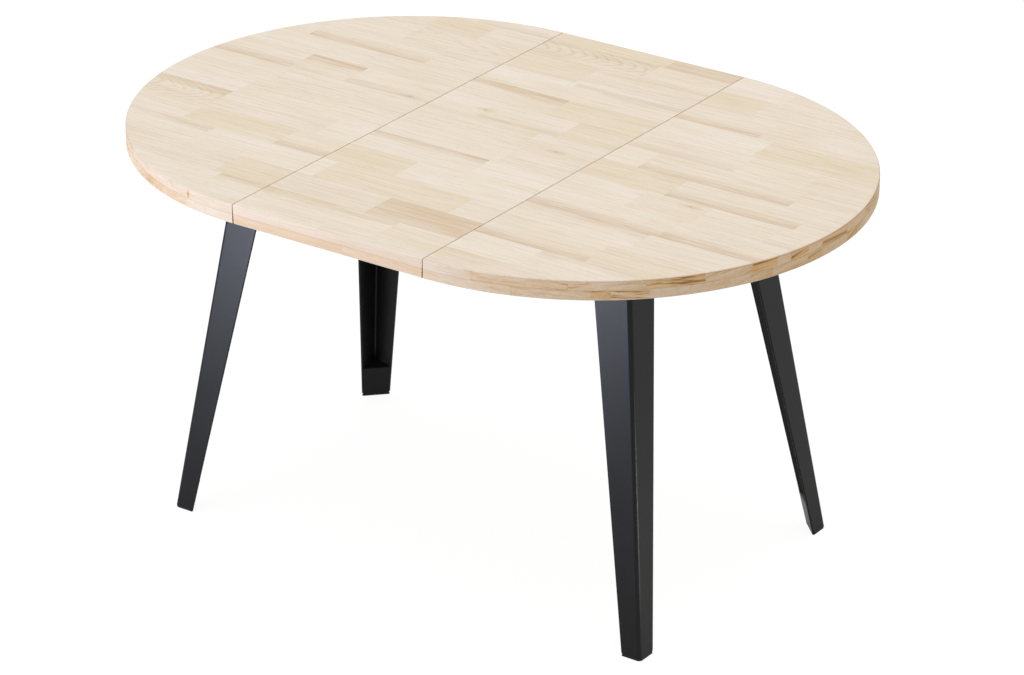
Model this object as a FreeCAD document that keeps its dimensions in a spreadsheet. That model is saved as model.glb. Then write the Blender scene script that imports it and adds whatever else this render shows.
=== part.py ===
import FreeCAD, Part
import math
import os
import re
import Sketcher

# Round dining table, pulled out, with its loose leaf in place.
# X is the way the table pulls out, Y goes across it, Z is up, and the floor is at zero.
# The table is modelled as it stands in use: two half-round tops with the leaf between them.

# Driving dimensions in millimetres, counts and shares, each with what it measures.
DRIVING = {
    # top
    "table_height": (750, "floor to the top face"),
    "top_radius": (500, "radius of the round top when it is pushed together"),
    "leaf_width": (400, "width that the leaf adds"),
    "board_thickness": (18, "one of the two glued layers of the top"),
    "edge_ease": (2.2, "bevel of the upper and lower edges"),
    "seam_gap": (1.2, "gap at the top face between a half and what it meets"),
    "seam_undercut": (3.6, "how far the sides of the leaf slope in at its underside"),
    # legs
    "leg_sheet": (4, "thickness of the leg's bent sheet"),
    "bend_radius": (7, "outer radius of the leg's bend"),
    "bend_inner": (3, "inner radius of the leg's bend"),
    "leg_along": (218, "bend corner at the top, from the middle of the round top, along X"),
    "leg_across": (211, "bend corner at the top, along Y"),
    "leg_splay": (96, "how far the corner moves out towards the floor, both ways"),
    "flange_top": (79, "width of a flange at the top"),
    "flange_foot": (39.5, "width of a flange at the foot"),
    "foot_round": (5, "rounding of a flange's free corner at the foot"),
    "leg_plate_side": (120, "long sides of the plate that a leg hangs from"),
    "leg_plate_thickness": (4, "thickness of that plate"),
    "leg_plate_corner": (12, "bevel of that plate's corners"),
    "leg_hole_end": (20, "screw hole to the end of the leg plate"),
    "leg_hole_side": (20, "screw hole to the long side of the leg plate"),
    "leg_hole_inner": (40, "third screw hole to both long sides"),
    "foot_plate_height": (62, "height of the plate that closes the foot"),
    "foot_plate_sheet": (3, "thickness of that plate"),
    "foot_lip_rise_share": (0.466, "rise of its folded lip over its depth, 25 degrees"),
    "foot_lip_gap": (0.3, "gap between the lip and the leg's inner bend"),
    "glide_thickness": (3, "thickness of the pad under a foot"),
    "glide_inset": (0.6, "how far the pad stays inside the foot"),
    # slides
    "slide_across": (262, "middle of a centre rail from the middle of the table"),
    "rail_width": (24, "width of a centre rail"),
    "rail_length": (640, "length of a centre rail"),
    "slide_depth": (44, "height of the slides"),
    "rail_drop": (0.3, "gap between a centre rail and the boards above it"),
    "side_gap": (0.5, "gap between a centre rail and a sliding bar"),
    "bar_width": (20, "width of a sliding bar"),
    "bar_reach": (480, "outer end of a sliding bar from the middle of the table"),
    "bar_overlap": (20, "how far a sliding bar passes the middle of the table"),
    "key_drop": (12, "middle of the dovetail key below the boards"),
    "key_mouth": (8, "height of the dovetail groove at its mouth"),
    "key_floor": (12, "height of the dovetail groove at its floor"),
    "key_depth": (6, "depth of the dovetail groove"),
    "key_gap": (0.33, "clearance round the dovetail key"),
    # racks and pinions
    "gear_module": (2, "module of the racks and pinions"),
    "pinion_teeth": (15, "teeth of a pinion"),
    "pressure_angle": (20, "slope of the teeth, in degrees"),
    "backlash": (0.3, "free play between rack and pinion"),
    "rack_tip_share": (0.8, "height of a rack tooth above its pitch line, in modules"),
    "pinion_tip_share": (1, "height of a pinion tooth above its pitch circle, in modules"),
    "root_share": (1.25, "depth of a tooth space below the pitch line, in modules"),
    "flank_steps": (2, "straight steps in the curve of a pinion tooth"),
    "rack_height": (12, "height of a rack"),
    "rack_rise": (6, "underside of a rack above the underside of the slides"),
    "rack_web": (3.5, "material behind the rack's teeth"),
    "rack_spare_teeth": (2, "teeth that a rack has past the pinion at each end of its travel"),
    "pinion_gap": (0.3, "clearance above and below a pinion"),
    "pinion_window": (40, "length of the opening in a centre rail for its pinion"),
    "pin_radius": (3, "radius of a pinion's pin"),
    "pin_gap": (0.05, "clearance round a pin"),
    "pin_above": (6, "how far the pin goes into the rail above the pinion"),
    # cross ties
    "tie_width": (36, "width of a cross tie"),
    "tie_depth": (18, "thickness of a cross tie"),
    "tie_along": (42, "middle of a cross tie from the middle of the table"),
    # screws
    "screw_radius": (2.2, "radius of a wood screw"),
    "screw_head_radius": (4.2, "radius of its head"),
    "screw_head_height": (2.4, "height of its head"),
    "screw_sides": (8, "flat sides that stand for its round section"),
    "screw_gap": (0.2, "clearance round a screw in its hole"),
    "leg_screw_length": (20, "length of a leg screw below its head"),
    "bar_screw_length": (55, "length of a slide screw below its head"),
    "tie_screw_length": (38, "length of a tie screw below its head"),
    "bar_screw_first": (70, "first slide screw to the outer end of the bar"),
    "bar_screw_step": (130, "one slide screw to the next"),
    "bar_screws": (2, "screws in a sliding bar"),
    # latches
    "latch_setback": (20, "latch screw to the seam on the hook's side"),
    "latch_reach": (22, "latch screw to the seam on the catch's side"),
    "shoulder_radius": (3, "radius of a latch screw's smooth shoulder"),
    "shoulder_head_radius": (5.5, "radius of its head"),
    "shoulder_head_height": (1.5, "height of its head"),
    "shoulder_root_radius": (2.2, "radius of its threaded end"),
    "shoulder_root_length": (13, "length of its threaded end in the board"),
    "hook_sheet": (2.5, "thickness of a hook"),
    "hook_gap": (0.3, "clearance above and below a hook"),
    "bore_gap": (0.08, "clearance of a turning piece round its pin or screw"),
    "hook_mouth_gap": (0.5, "clearance round the latch screw in the hook's mouth"),
    "hook_arm": (11, "width of a hook's arm"),
    "hook_boss": (8, "radius of a hook round its bore"),
    "hook_nose": (9, "radius of a hook round its mouth"),
    "hook_tail": (26, "length of a hook's thumb tail from its bore"),
    "hook_tail_tip": (5, "radius of the tail's end"),
    "hook_mouth_angle": (30, "stretch of the circle that the mouth is cut along, in degrees"),
}

# Sizes worked out from the driving ones, as formulas.
WORKED_OUT = {
    "under": "table_height - 2 * board_thickness",
    "glue_line": "table_height - board_thickness",
    "leaf_half": "leaf_width / 2",
    "travel": "leaf_width / 2",
    "seam": "leaf_half + seam_gap / 2",
    "leaf_edge": "leaf_half - seam_gap / 2",
    "leg_head": "under - leg_plate_thickness",
    "corner_x_top": "leaf_half + leg_along",
    "corner_y_top": "leg_across",
    "corner_x_foot": "leaf_half + leg_along + leg_splay",
    "corner_y_foot": "leg_across + leg_splay",
    "slide_floor": "under - slide_depth",
    "rail_half": "rail_width / 2",
    "rail_top": "under - rail_drop",
    "bar_face": "rail_half + side_gap",
    "bar_back": "bar_face + bar_width",
    "key_level": "under - key_drop",
    "key_slope": "(key_floor - key_mouth) / 2 / key_depth",
    "key_root": "key_mouth / 2 - side_gap * key_slope - key_gap",
    "key_tip_face": "rail_half - key_depth + key_gap",
    "key_tip": "key_root + (bar_face - key_tip_face) * key_slope",
    "pitch": "pi * gear_module",
    "pitch_radius": "gear_module * pinion_teeth / 2",
    "rack_floor": "slide_floor + rack_rise",
    "rack_roof": "rack_floor + rack_height",
    "rack_tip": "pitch_radius - rack_tip_share * gear_module",
    "rack_root": "pitch_radius + root_share * gear_module",
    "rack_back": "rack_root + rack_web",
    "flank": "tan(pressure_angle * 1 deg)",
    "rack_half_tooth": "pitch / 4 - backlash / 4",
    "rack_half_tip": "rack_half_tooth - (pitch_radius - rack_tip) * flank",
    "rack_half_root": "rack_half_tooth + (rack_back - pitch_radius) * flank",
    "rack_teeth": "ceil(travel / pitch) + 2 * rack_spare_teeth",
    "screw_line": "(rack_back + bar_back) / 2",
    "hook_drop": "hook_gap + hook_sheet",
    "shoulder": "hook_drop + hook_gap",
    "hook_span": "latch_setback + seam_gap + latch_reach",
}

# The three screw holes of a leg plate, from the leg's bend corner along its two long sides.
LEG_HOLES = (
    ("leg_plate_side - leg_hole_end", "leg_hole_side"),
    ("leg_hole_side", "leg_plate_side - leg_hole_end"),
    ("leg_hole_inner", "leg_hole_inner"),
)

SIDES = (("left", -1), ("right", 1))
ENDS = (("front", -1), ("back", 1))

doc = FreeCAD.newDocument("DiningTable")
sizes = doc.addObject("Spreadsheet::Sheet", "sizes")
for row, (name, (number, meaning)) in enumerate(DRIVING.items(), 1):
    sizes.set(f"A{row}", meaning)
    sizes.set(f"B{row}", str(number))
    sizes.setAlias(f"B{row}", name)
doc.recompute()

nodes = []


def formula(text):
    """Spell out a formula: a driving size becomes its cell, and a worked-out size its own formula."""

    def spell(match):
        word = match.group()
        if word in WORKED_OUT:
            return "(" + formula(WORKED_OUT[word]) + ")"
        return "sizes." + word if word in DRIVING else word

    return re.sub(r"[a-z_]+", spell, str(text))


def size(text):
    """The number that a formula gives."""
    return float(sizes.evalExpression(formula(text)))


def bind(thing, **formulas):
    """Tie properties of a document object to formulas; x, y and z stand for its place."""
    for name, text in formulas.items():
        path = "Placement.Base." + name if name in ("x", "y", "z") else name
        thing.setExpression(path, formula(text))
    return thing


def signed(sign, text):
    """A formula with a side's sign."""
    return f"{sign} * ({text})"


def keep(thing, label):
    """Name a finished piece, so that it is written out as a node."""
    thing.Label = label
    nodes.append(thing)
    return thing


def new_body(name):
    return doc.addObject("PartDesign::Body", name)


def new_sketch(body, plane, offset="0"):
    """A sketch on one of the body's own planes, at an offset along its normal."""
    sketch = body.newObject("Sketcher::SketchObject", body.Name + "_sketch")
    support = [f for f in body.Origin.OriginFeatures if f.Role == plane][0]
    sketch.AttachmentSupport = [(support, "")]
    sketch.MapMode = "FlatFace"
    sketch.setExpression("AttachmentOffset.Base.z", formula(offset))
    return sketch


def pin_down(sketch, item, point, x, y):
    """Tie a point of the sketch to its two coordinates."""
    for kind, text in (("DistanceX", x), ("DistanceY", y)):
        rule = Sketcher.Constraint(kind, -1, 1, item, point, size(text))
        index = sketch.addConstraint(rule)
        sketch.setExpression(f"Constraints[{index}]", formula(text))


def draw_outline(sketch, corners):
    """A closed outline through corners given as pairs of formulas."""
    points = [FreeCAD.Vector(size(x), size(y), 0) for x, y in corners]
    first = sketch.GeometryCount
    count = len(points)
    for i in range(count):
        sketch.addGeometry(Part.LineSegment(points[i], points[(i + 1) % count]))
    for i in range(count):
        after = first + (i + 1) % count
        sketch.addConstraint(Sketcher.Constraint("Coincident", first + i, 2, after, 1))
        pin_down(sketch, first + i, 1, *corners[i])
    return sketch


def draw_circle(sketch, x, y, radius):
    """A circle whose centre and radius are formulas."""
    centre = FreeCAD.Vector(size(x), size(y), 0)
    up = FreeCAD.Vector(0, 0, 1)
    item = sketch.addGeometry(Part.Circle(centre, up, size(radius)))
    pin_down(sketch, item, 3, x, y)
    index = sketch.addConstraint(Sketcher.Constraint("Radius", item, size(radius)))
    sketch.setExpression(f"Constraints[{index}]", formula(radius))
    return sketch


def pad(body, sketch, length):
    feature = body.newObject("PartDesign::Pad", body.Name + "_pad")
    feature.Profile = sketch
    bind(feature, Length=length)
    doc.recompute()
    return feature


def dress_edges(body, base, kind, chosen, **measure):
    """Give a Fillet or a Chamfer to the edges of a feature for which chosen(edge) is true."""
    names = [f"Edge{i}" for i, edge in enumerate(base.Shape.Edges, 1) if chosen(edge)]
    if not names:
        raise RuntimeError(f"{body.Name} has no edge for its {kind}")
    feature = body.newObject("PartDesign::" + kind, f"{body.Name}_{kind}")
    feature.Base = (base, names)
    bind(feature, **measure)
    doc.recompute()
    return feature


def round_edges(body, base, radius, chosen):
    return dress_edges(body, base, "Fillet", chosen, Radius=radius)


def bevel_edges(body, base, width, chosen):
    return dress_edges(body, base, "Chamfer", chosen, Size=width)


def drill(body, radius, x, y, z, depth):
    """Cut a round hole that starts at z and goes up."""
    hole = body.newObject("PartDesign::SubtractiveCylinder", body.Name + "_hole")
    bind(hole, Radius=radius, Height=depth, x=x, y=y, z=z)
    doc.recompute()
    return hole


def near(a, b):
    """Whether two lengths agree, far closer than any size of the table."""
    return abs(a - b) < 1e-4 * size("table_height")


def place(x, y, z):
    """The point that three formulas give."""
    return FreeCAD.Vector(size(x), size(y), size(z))


def solid_between(low, high):
    """The solid between two flat outlines with as many points each, the second above the first."""
    across = [point - low[0] for point in low[1:]]
    if sum(a.cross(b).z for a, b in zip(across, across[1:])) > 0:
        low, high = low[::-1], high[::-1]
    count = len(low)
    rings = [low, high[::-1]]
    for i in range(count):
        j = (i + 1) % count
        rings.append([low[i], high[i], high[j], low[j]])
    faces = [Part.Face(Part.makePolygon(ring + ring[:1])) for ring in rings]
    return Part.Solid(Part.Shell(faces))


def joins(edge, a, b):
    """Whether an edge runs between two points."""
    ends = [v.Point for v in edge.Vertexes]
    if len(ends) < 2:
        return False
    straight = near(ends[0].distanceToPoint(a), 0) and near(ends[1].distanceToPoint(b), 0)
    return straight or (near(ends[0].distanceToPoint(b), 0) and near(ends[1].distanceToPoint(a), 0))


def rounded(shape, radius, chosen):
    """A shape with the edges rounded for which chosen(edge) is true."""
    edges = [edge for edge in shape.Edges if chosen(edge)]
    return shape.makeFillet(size(radius), edges)


def stands_at(spots):
    """A test for upright edges at any of these places, given as pairs of formulas."""
    places = [(size(x), size(y)) for x, y in spots]

    def test(edge):
        points = [v.Point for v in edge.Vertexes]
        return any(all(near(p.x, x) and near(p.y, y) for p in points) for x, y in places)

    return test


def placed_copies(label, template, places):
    """A group of like pieces: the template's solid at each place, as one node."""
    group = doc.addObject("Part::Feature", label)
    copies = []
    for x, y, z in places:
        copy = template.Shape.copy()
        copy.translate(place(x, y, z))
        copies.append(copy)
    group.Shape = Part.makeCompound(copies)
    return keep(group, label)


def half_board(label, side, low, bevelled):
    """One layer of a half-round top, with its outer edge bevelled at the given level."""
    body = new_body(label)
    sketch = new_sketch(body, "XY_Plane", low)
    middle = FreeCAD.Vector(side * size("leaf_half"), 0, 0)
    up = FreeCAD.Vector(0, 0, 1)
    radius = size("top_radius")
    start = math.asin(size("seam_gap") / 2 / radius) - math.pi / 2
    turn = 0 if side > 0 else math.pi
    circle = Part.Circle(middle, up, radius)
    rim = sketch.addGeometry(Part.ArcOfCircle(circle, turn + start, turn - start))
    ends = sketch.Geometry[rim].StartPoint, sketch.Geometry[rim].EndPoint
    cut = sketch.addGeometry(Part.LineSegment(ends[1], ends[0]))
    sketch.addConstraint(Sketcher.Constraint("Coincident", rim, 2, cut, 1))
    sketch.addConstraint(Sketcher.Constraint("Coincident", cut, 2, rim, 1))
    sketch.addConstraint(Sketcher.Constraint("Vertical", cut))
    pin_down(sketch, rim, 3, signed(side, "leaf_half"), "0")
    index = sketch.addConstraint(Sketcher.Constraint("Radius", rim, radius))
    sketch.setExpression(f"Constraints[{index}]", formula("top_radius"))
    rule = Sketcher.Constraint("DistanceX", -1, 1, cut, 1, side * size("seam"))
    index = sketch.addConstraint(rule)
    sketch.setExpression(f"Constraints[{index}]", formula(signed(side, "seam")))
    layer = pad(body, sketch, "board_thickness")

    def on_rim(edge):
        level = all(near(v.Z, size(bevelled)) for v in edge.Vertexes)
        return level and edge.Curve.TypeId == "Part::GeomCircle"

    bevel_edges(body, layer, "edge_ease", on_rim)
    return keep(body, label)


def leaf_board(label, low, high, bevelled):
    """One layer of the leaf: its sides slope in towards the underside."""
    body = new_body(label)
    slope = "seam_undercut / (2 * board_thickness)"
    corners = []
    for side, level in ((-1, low), (1, low), (1, high), (-1, high)):
        edge = f"leaf_edge - (table_height - ({level})) * {slope}"
        corners.append((signed(side, edge), level))
    sketch = draw_outline(new_sketch(body, "XZ_Plane", "-top_radius"), corners)
    layer = pad(body, sketch, "2 * top_radius")

    def on_end(edge):
        level = all(near(v.Z, size(bevelled)) for v in edge.Vertexes)
        return level and near(edge.Vertexes[0].Y, edge.Vertexes[1].Y)

    bevel_edges(body, layer, "edge_ease", on_end)
    return keep(body, label)


def leg_corner(side, end, where):
    """The bend corner of a leg at the top or at the foot, as formulas."""
    return signed(side, f"corner_x_{where}"), signed(end, f"corner_y_{where}")


def from_corner(side, end, where, u, v):
    """A point u along X and v along Y from a leg's corner, towards the middle."""
    x, y = leg_corner(side, end, where)
    return f"{x} - {signed(side, u)}", f"{y} - {signed(end, v)}"


def leg(label, side, end):
    """A leg: sheet bent to an angle that tapers and leans out towards the floor."""
    levels = (("foot", "flange_foot", "glide_thickness"), ("top", "flange_top", "leg_head"))
    rings = []
    for where, flange, level in levels:
        spots = [(0, 0), (flange, 0), (flange, "leg_sheet")]
        spots += [("leg_sheet", "leg_sheet"), ("leg_sheet", flange), (0, flange)]
        rings.append([place(*from_corner(side, end, where, u, v), level) for u, v in spots])
    angle = solid_between(*rings)

    def along(corner):
        """Whether an edge runs up the leg from this corner of its outline."""
        ends = rings[0][corner], rings[1][corner]
        return lambda edge: joins(edge, *ends)

    def free_corner(edge):
        return joins(edge, *rings[0][1:3]) or joins(edge, *rings[0][4:6])

    bent = rounded(angle, "bend_radius", along(0))
    bent = rounded(bent, "bend_inner", along(3))
    thing = doc.addObject("Part::Feature", label)
    thing.Shape = rounded(bent, "foot_round", free_corner)
    return keep(thing, label)


def leg_plate(label, side, end):
    """The plate welded across the top of a leg and screwed under the board."""
    body = new_body(label)
    reach, short = "leg_plate_side", "2 * leg_hole_side"
    spots = ((0, 0), (reach, 0), (reach, short), (short, reach), (0, reach))
    corners = [from_corner(side, end, "top", u, v) for u, v in spots]
    sketch = draw_outline(new_sketch(body, "XY_Plane", "leg_head"), corners)
    for u, v in LEG_HOLES:
        x, y = from_corner(side, end, "top", u, v)
        draw_circle(sketch, x, y, "screw_radius + screw_gap")
    plate = pad(body, sketch, "leg_plate_thickness")
    bent = round_edges(body, plate, "bend_radius", stands_at(corners[:1]))
    bevel_edges(body, bent, "leg_plate_corner", stands_at([corners[1], corners[4]]))
    return keep(body, label)


def foot_plate(label, side, end):
    """The folded plate that closes a foot: an upright strip between the flanges and a lip."""
    low, head = size("glide_thickness"), size("leg_head")
    sheet, wall = size("foot_plate_sheet"), size("leg_sheet")
    top = low + size("foot_plate_height")

    def point(u, v, level):
        """A place u and v from the bend corner, which moves in as the leg rises."""
        share = (level - low) / (head - low)
        x = size("corner_x_foot") - share * size("leg_splay") - u
        y = size("corner_y_foot") - share * size("leg_splay") - v
        return FreeCAD.Vector(side * x, end * y, level)

    def flange(level):
        share = (level - low) / (head - low)
        return size("flange_foot") + share * size("flange_top - flange_foot")

    def strip(level):
        """The strip's section, square to the line that halves the corner."""
        far, back = flange(level), flange(level) - sheet * math.sqrt(2)
        spots = ((far, wall), (wall, far), (wall, back), (back, wall))
        return [point(u, v, level) for u, v in spots]

    far = flange(top)
    near_bend = wall + size("bend_inner + foot_lip_gap")
    depth = (far - near_bend) / math.sqrt(2)
    rise = depth * size("foot_lip_rise_share")

    def lip(lift):
        spots = ((far, wall, 0), (wall, far, 0), (wall, near_bend, rise), (near_bend, wall, rise))
        return [point(u, v, top - sheet + lift + up) for u, v, up in spots]

    plate = doc.addObject("Part::Feature", label)
    upright = solid_between(strip(low), strip(top))
    folded = solid_between(lip(0), lip(sheet))
    plate.Shape = upright.fuse(folded).removeSplitter().Solids[0]
    return keep(plate, label)


def glide(label, side, end):
    """The pad under a foot."""
    body = new_body(label)
    near_side, far = "glide_inset", "flange_foot - glide_inset"
    spots = ((near_side, near_side), (far, near_side), (far, "leg_sheet"))
    spots += (("leg_sheet", far), (near_side, far))
    corners = [from_corner(side, end, "foot", u, v) for u, v in spots]
    sketch = draw_outline(new_sketch(body, "XY_Plane"), corners)
    sole = pad(body, sketch, "glide_thickness")
    round_edges(body, sole, "bend_radius", stands_at(corners[:1]))
    return keep(body, label)


def centre_rail(label, end):
    """A centre rail: a dovetail groove in each side and a window for the pinion."""
    body = new_body(label)
    half_profile = (
        ("rail_half", "slide_floor"),
        ("rail_half", "key_level - key_mouth / 2"),
        ("rail_half - key_depth", "key_level - key_floor / 2"),
        ("rail_half - key_depth", "key_level + key_floor / 2"),
        ("rail_half", "key_level + key_mouth / 2"),
        ("rail_half", "rail_top"),
    )
    middle = signed(end, "slide_across")
    corners = [(f"{middle} + {u}", v) for u, v in half_profile]
    corners += [(f"{middle} - ({u})", v) for u, v in reversed(half_profile)]
    sketch = draw_outline(new_sketch(body, "YZ_Plane", "-rail_length / 2"), corners)
    pad(body, sketch, "rail_length")
    window = body.newObject("PartDesign::SubtractiveBox", body.Name + "_window")
    bind(window, Length="pinion_window", Width="rail_width", Height="rack_height")
    bind(window, x="-pinion_window / 2", y=f"{middle} - rail_half", z="rack_floor")
    doc.recompute()
    drill(body, "pin_radius + pin_gap", "0", middle, "slide_floor", "rack_roof + pin_above - slide_floor")
    return keep(body, label)


def bar_sign(side, end):
    """Left bars run outside the centre rails and right bars inside them."""
    return -side * end


def sliding_bar(label, side, end):
    """A bar under a half: its dovetail key runs in the rail's groove, and it carries a rack."""
    body = new_body(label)
    profile = (
        ("bar_face", "slide_floor"),
        ("bar_face", "rack_floor"),
        ("rack_back", "rack_floor"),
        ("rack_back", "rack_roof"),
        ("bar_face", "rack_roof"),
        ("bar_face", "key_level - key_root"),
        ("key_tip_face", "key_level - key_tip"),
        ("key_tip_face", "key_level + key_tip"),
        ("bar_face", "key_level + key_root"),
        ("bar_face", "under"),
        ("bar_back", "under"),
        ("bar_back", "slide_floor"),
    )
    out = bar_sign(side, end)
    middle = signed(end, "slide_across")
    corners = [(f"{middle} + {signed(out, u)}", v) for u, v in profile]
    start = "-bar_reach" if side < 0 else "-bar_overlap"
    sketch = draw_outline(new_sketch(body, "YZ_Plane", start), corners)
    pad(body, sketch, "bar_reach + bar_overlap")
    return keep(body, label)


def bar_screw_spots(side, end):
    """Where the slide screws of one bar stand."""
    y = f"{signed(end, 'slide_across')} + {signed(bar_sign(side, end), 'screw_line')}"
    count = int(size("bar_screws"))
    along = [f"bar_reach - bar_screw_first - {i} * bar_screw_step" for i in range(count)]
    return [(signed(side, x), y) for x in along]


def rack(label, side, end):
    """A toothed rack in the bar's groove: one tooth is drawn and the rest follow it."""
    body = new_body(label)
    out = bar_sign(side, end)
    middle = signed(end, "slide_across")
    # an outer rack has a tooth space over the pinion's middle, an inner rack a tooth
    first = "rack_spare_teeth - rack_teeth" if side < 0 else "-rack_spare_teeth - 1 / 2"
    start, finish = f"({first}) * pitch", f"({first} + rack_teeth) * pitch"
    strip = ((start, "rack_root"), (finish, "rack_root"), (finish, "rack_back"), (start, "rack_back"))
    corners = [(x, f"{middle} + {signed(out, u)}") for x, u in strip]
    pad(body, draw_outline(new_sketch(body, "XY_Plane", "rack_floor"), corners), "rack_height")
    centre = f"({first} + 1 / 2) * pitch"
    shape = (
        (f"{centre} - rack_half_root", "rack_back"),
        (f"{centre} - rack_half_tip", "rack_tip"),
        (f"{centre} + rack_half_tip", "rack_tip"),
        (f"{centre} + rack_half_root", "rack_back"),
    )
    corners = [(x, f"{middle} + {signed(out, u)}") for x, u in shape]
    sketch = draw_outline(new_sketch(body, "XY_Plane", "rack_floor"), corners)
    tooth = pad(body, sketch, "rack_height")
    row = body.newObject("PartDesign::LinearPattern", body.Name + "_row")
    row.Originals = [tooth]
    row.Direction = (sketch, ["H_Axis"])
    bind(row, Occurrences="rack_teeth", Length="(rack_teeth - 1) * pitch")
    body.Tip = row
    doc.recompute()
    return keep(body, label)


def involute_tooth():
    """The outline of one pinion tooth about +Y: radial below the base circle, involute above."""
    pitch_radius = size("pitch_radius")
    slope = math.radians(size("pressure_angle"))
    base = pitch_radius * math.cos(slope)
    tip = pitch_radius + size("pinion_tip_share * gear_module")
    root = pitch_radius - size("root_share * gear_module")
    half = size("pitch / 4 - backlash / 4") / pitch_radius
    half += math.tan(slope) - slope
    steps = int(size("flank_steps"))
    flank = [(root - size("backlash"), half)]
    for i in range(steps + 1):
        radius = base + (tip - base) * i / steps
        roll = math.sqrt(max((radius / base) ** 2 - 1, 0))
        flank.append((radius, half - (roll - math.atan(roll))))
    left = [FreeCAD.Vector(-r * math.sin(a), r * math.cos(a), 0) for r, a in flank]
    right = [FreeCAD.Vector(-p.x, p.y, 0) for p in reversed(left)]
    return left + right


def pinion(label, end):
    """A pinion on its pin in the middle of a centre rail."""
    body = new_body(label)
    level = "rack_floor + pinion_gap"
    disc = new_sketch(body, "XY_Plane", level)
    draw_circle(disc, "0", "0", "pitch_radius - root_share * gear_module")
    draw_circle(disc, "0", "0", "pin_radius + bore_gap")
    pad(body, disc, "rack_height - 2 * pinion_gap")
    sketch = new_sketch(body, "XY_Plane", level)
    points = involute_tooth()
    for a, b in zip(points, points[1:] + points[:1]):
        sketch.addGeometry(Part.LineSegment(a, b))
    tooth = pad(body, sketch, "rack_height - 2 * pinion_gap")
    ring = body.newObject("PartDesign::PolarPattern", body.Name + "_ring")
    ring.Originals = [tooth]
    ring.Axis = (sketch, ["N_Axis"])
    ring.Angle = 360
    bind(ring, Occurrences="pinion_teeth")
    body.Tip = ring
    # the tooth drawn points to the outer rack, whichever end the pinion is at
    body.Placement.Rotation = FreeCAD.Rotation(FreeCAD.Vector(0, 0, 1), 90 - 90 * end)
    bind(body, y=signed(end, "slide_across"))
    doc.recompute()
    return keep(body, label)


def turned(name, profile):
    """A piece turned about Z, from its half outline as pairs of radius and height."""
    body = new_body(name)
    sketch = draw_outline(new_sketch(body, "XZ_Plane"), profile)
    feature = body.newObject("PartDesign::Revolution", name + "_turn")
    feature.Profile = sketch
    feature.ReferenceAxis = (sketch, ["V_Axis"])
    feature.Angle = 360
    doc.recompute()
    return body


def screw_part(name, kind, radius, low, height):
    """One stretch of a screw about Z: a prism of few sides, or round where a hook turns on it."""
    stretch = doc.addObject("Part::" + kind, name + "_stretch")
    if kind == "Prism":
        return bind(stretch, Circumradius=radius, Polygon="screw_sides", Height=height, z=low)
    return bind(stretch, Radius=radius, Height=height, z=low)


def screw_of(name, parts):
    screw = doc.addObject("Part::MultiFuse", name)
    screw.Shapes = parts
    doc.recompute()
    return screw


def wood_screw(name, length):
    """A wood screw pointing up, with its head just below zero."""
    head = screw_part(name, "Prism", "screw_head_radius", "-screw_head_height", "screw_head_height")
    return screw_of(name, [head, screw_part(name, "Prism", "screw_radius", "0", length)])


def shoulder_screw(name):
    """A latch screw pointing up, with the underside of its board at zero."""
    low = "-shoulder - shoulder_head_height"
    return screw_of(name, [
        screw_part(name, "Prism", "shoulder_head_radius", low, "shoulder_head_height"),
        screw_part(name, "Cylinder", "shoulder_radius", "-shoulder", "shoulder"),
        screw_part(name, "Prism", "shoulder_root_radius", "0", "shoulder_root_length"),
    ])


def cross_tie(label, side):
    """A tie under both centre rails."""
    body = new_body(label)
    reach = "slide_across + rail_half"
    near_edge, far_edge = "tie_along - tie_width / 2", "tie_along + tie_width / 2"
    spots = ((near_edge, f"-({reach})"), (far_edge, f"-({reach})"), (far_edge, reach), (near_edge, reach))
    corners = [(signed(side, x), y) for x, y in spots]
    sketch = draw_outline(new_sketch(body, "XY_Plane", "slide_floor - tie_depth"), corners)
    pad(body, sketch, "tie_depth")
    return keep(body, label)


def hook(label, x):
    """A hook that turns on a latch screw; it lies open along the seam, its nose to the front."""
    parts = []

    def piece(kind, **formulas):
        thing = doc.addObject("Part::" + kind, f"{label}_{kind}")
        return bind(thing, **formulas)

    sheet = {"Height": "hook_sheet"}
    parts.append(piece("Cylinder", Radius="hook_boss", **sheet))
    parts.append(piece("Cylinder", Radius="hook_nose", x="hook_span", **sheet))
    parts.append(piece("Cylinder", Radius="hook_tail_tip", x="-hook_tail", **sheet))
    parts.append(piece("Box", Length="hook_span", Width="hook_arm", y="-hook_arm / 2", **sheet))
    tail = {"Length": "hook_tail", "Width": "2 * hook_tail_tip", "x": "-hook_tail", "y": "-hook_tail_tip"}
    parts.append(piece("Box", **tail, **sheet))
    lever = doc.addObject("Part::MultiFuse", label + "_lever")
    lever.Shapes = parts

    through = {"Height": "hook_sheet + 2 * hook_gap", "z": "-hook_gap"}
    bore = piece("Cylinder", Radius="shoulder_radius + bore_gap", **through)
    seat = piece("Cylinder", Radius="shoulder_radius + hook_mouth_gap", x="hook_span", **through)
    # the catch comes in along a circle about the bore, so the mouth is a stretch of ring
    wide = piece("Cylinder", Radius="hook_span + shoulder_radius + hook_mouth_gap", **through)
    narrow = piece("Cylinder", Radius="hook_span - shoulder_radius - hook_mouth_gap", **through)
    bind(wide, Angle="hook_mouth_angle")
    bind(narrow, Angle="hook_mouth_angle")
    mouth = doc.addObject("Part::Cut", label + "_mouth")
    mouth.Base, mouth.Tool = wide, narrow
    removed = doc.addObject("Part::MultiFuse", label + "_removed")
    removed.Shapes = [bore, seat, mouth]
    final = doc.addObject("Part::Cut", label + "_cut")
    final.Base, final.Tool = lever, removed
    # a quarter turn from open to closed over the seam
    final.Placement.Rotation = FreeCAD.Rotation(FreeCAD.Vector(0, 0, 1), -90)
    bind(final, x=x, z="under - hook_drop")
    doc.recompute()
    return keep(final, label)


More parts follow.
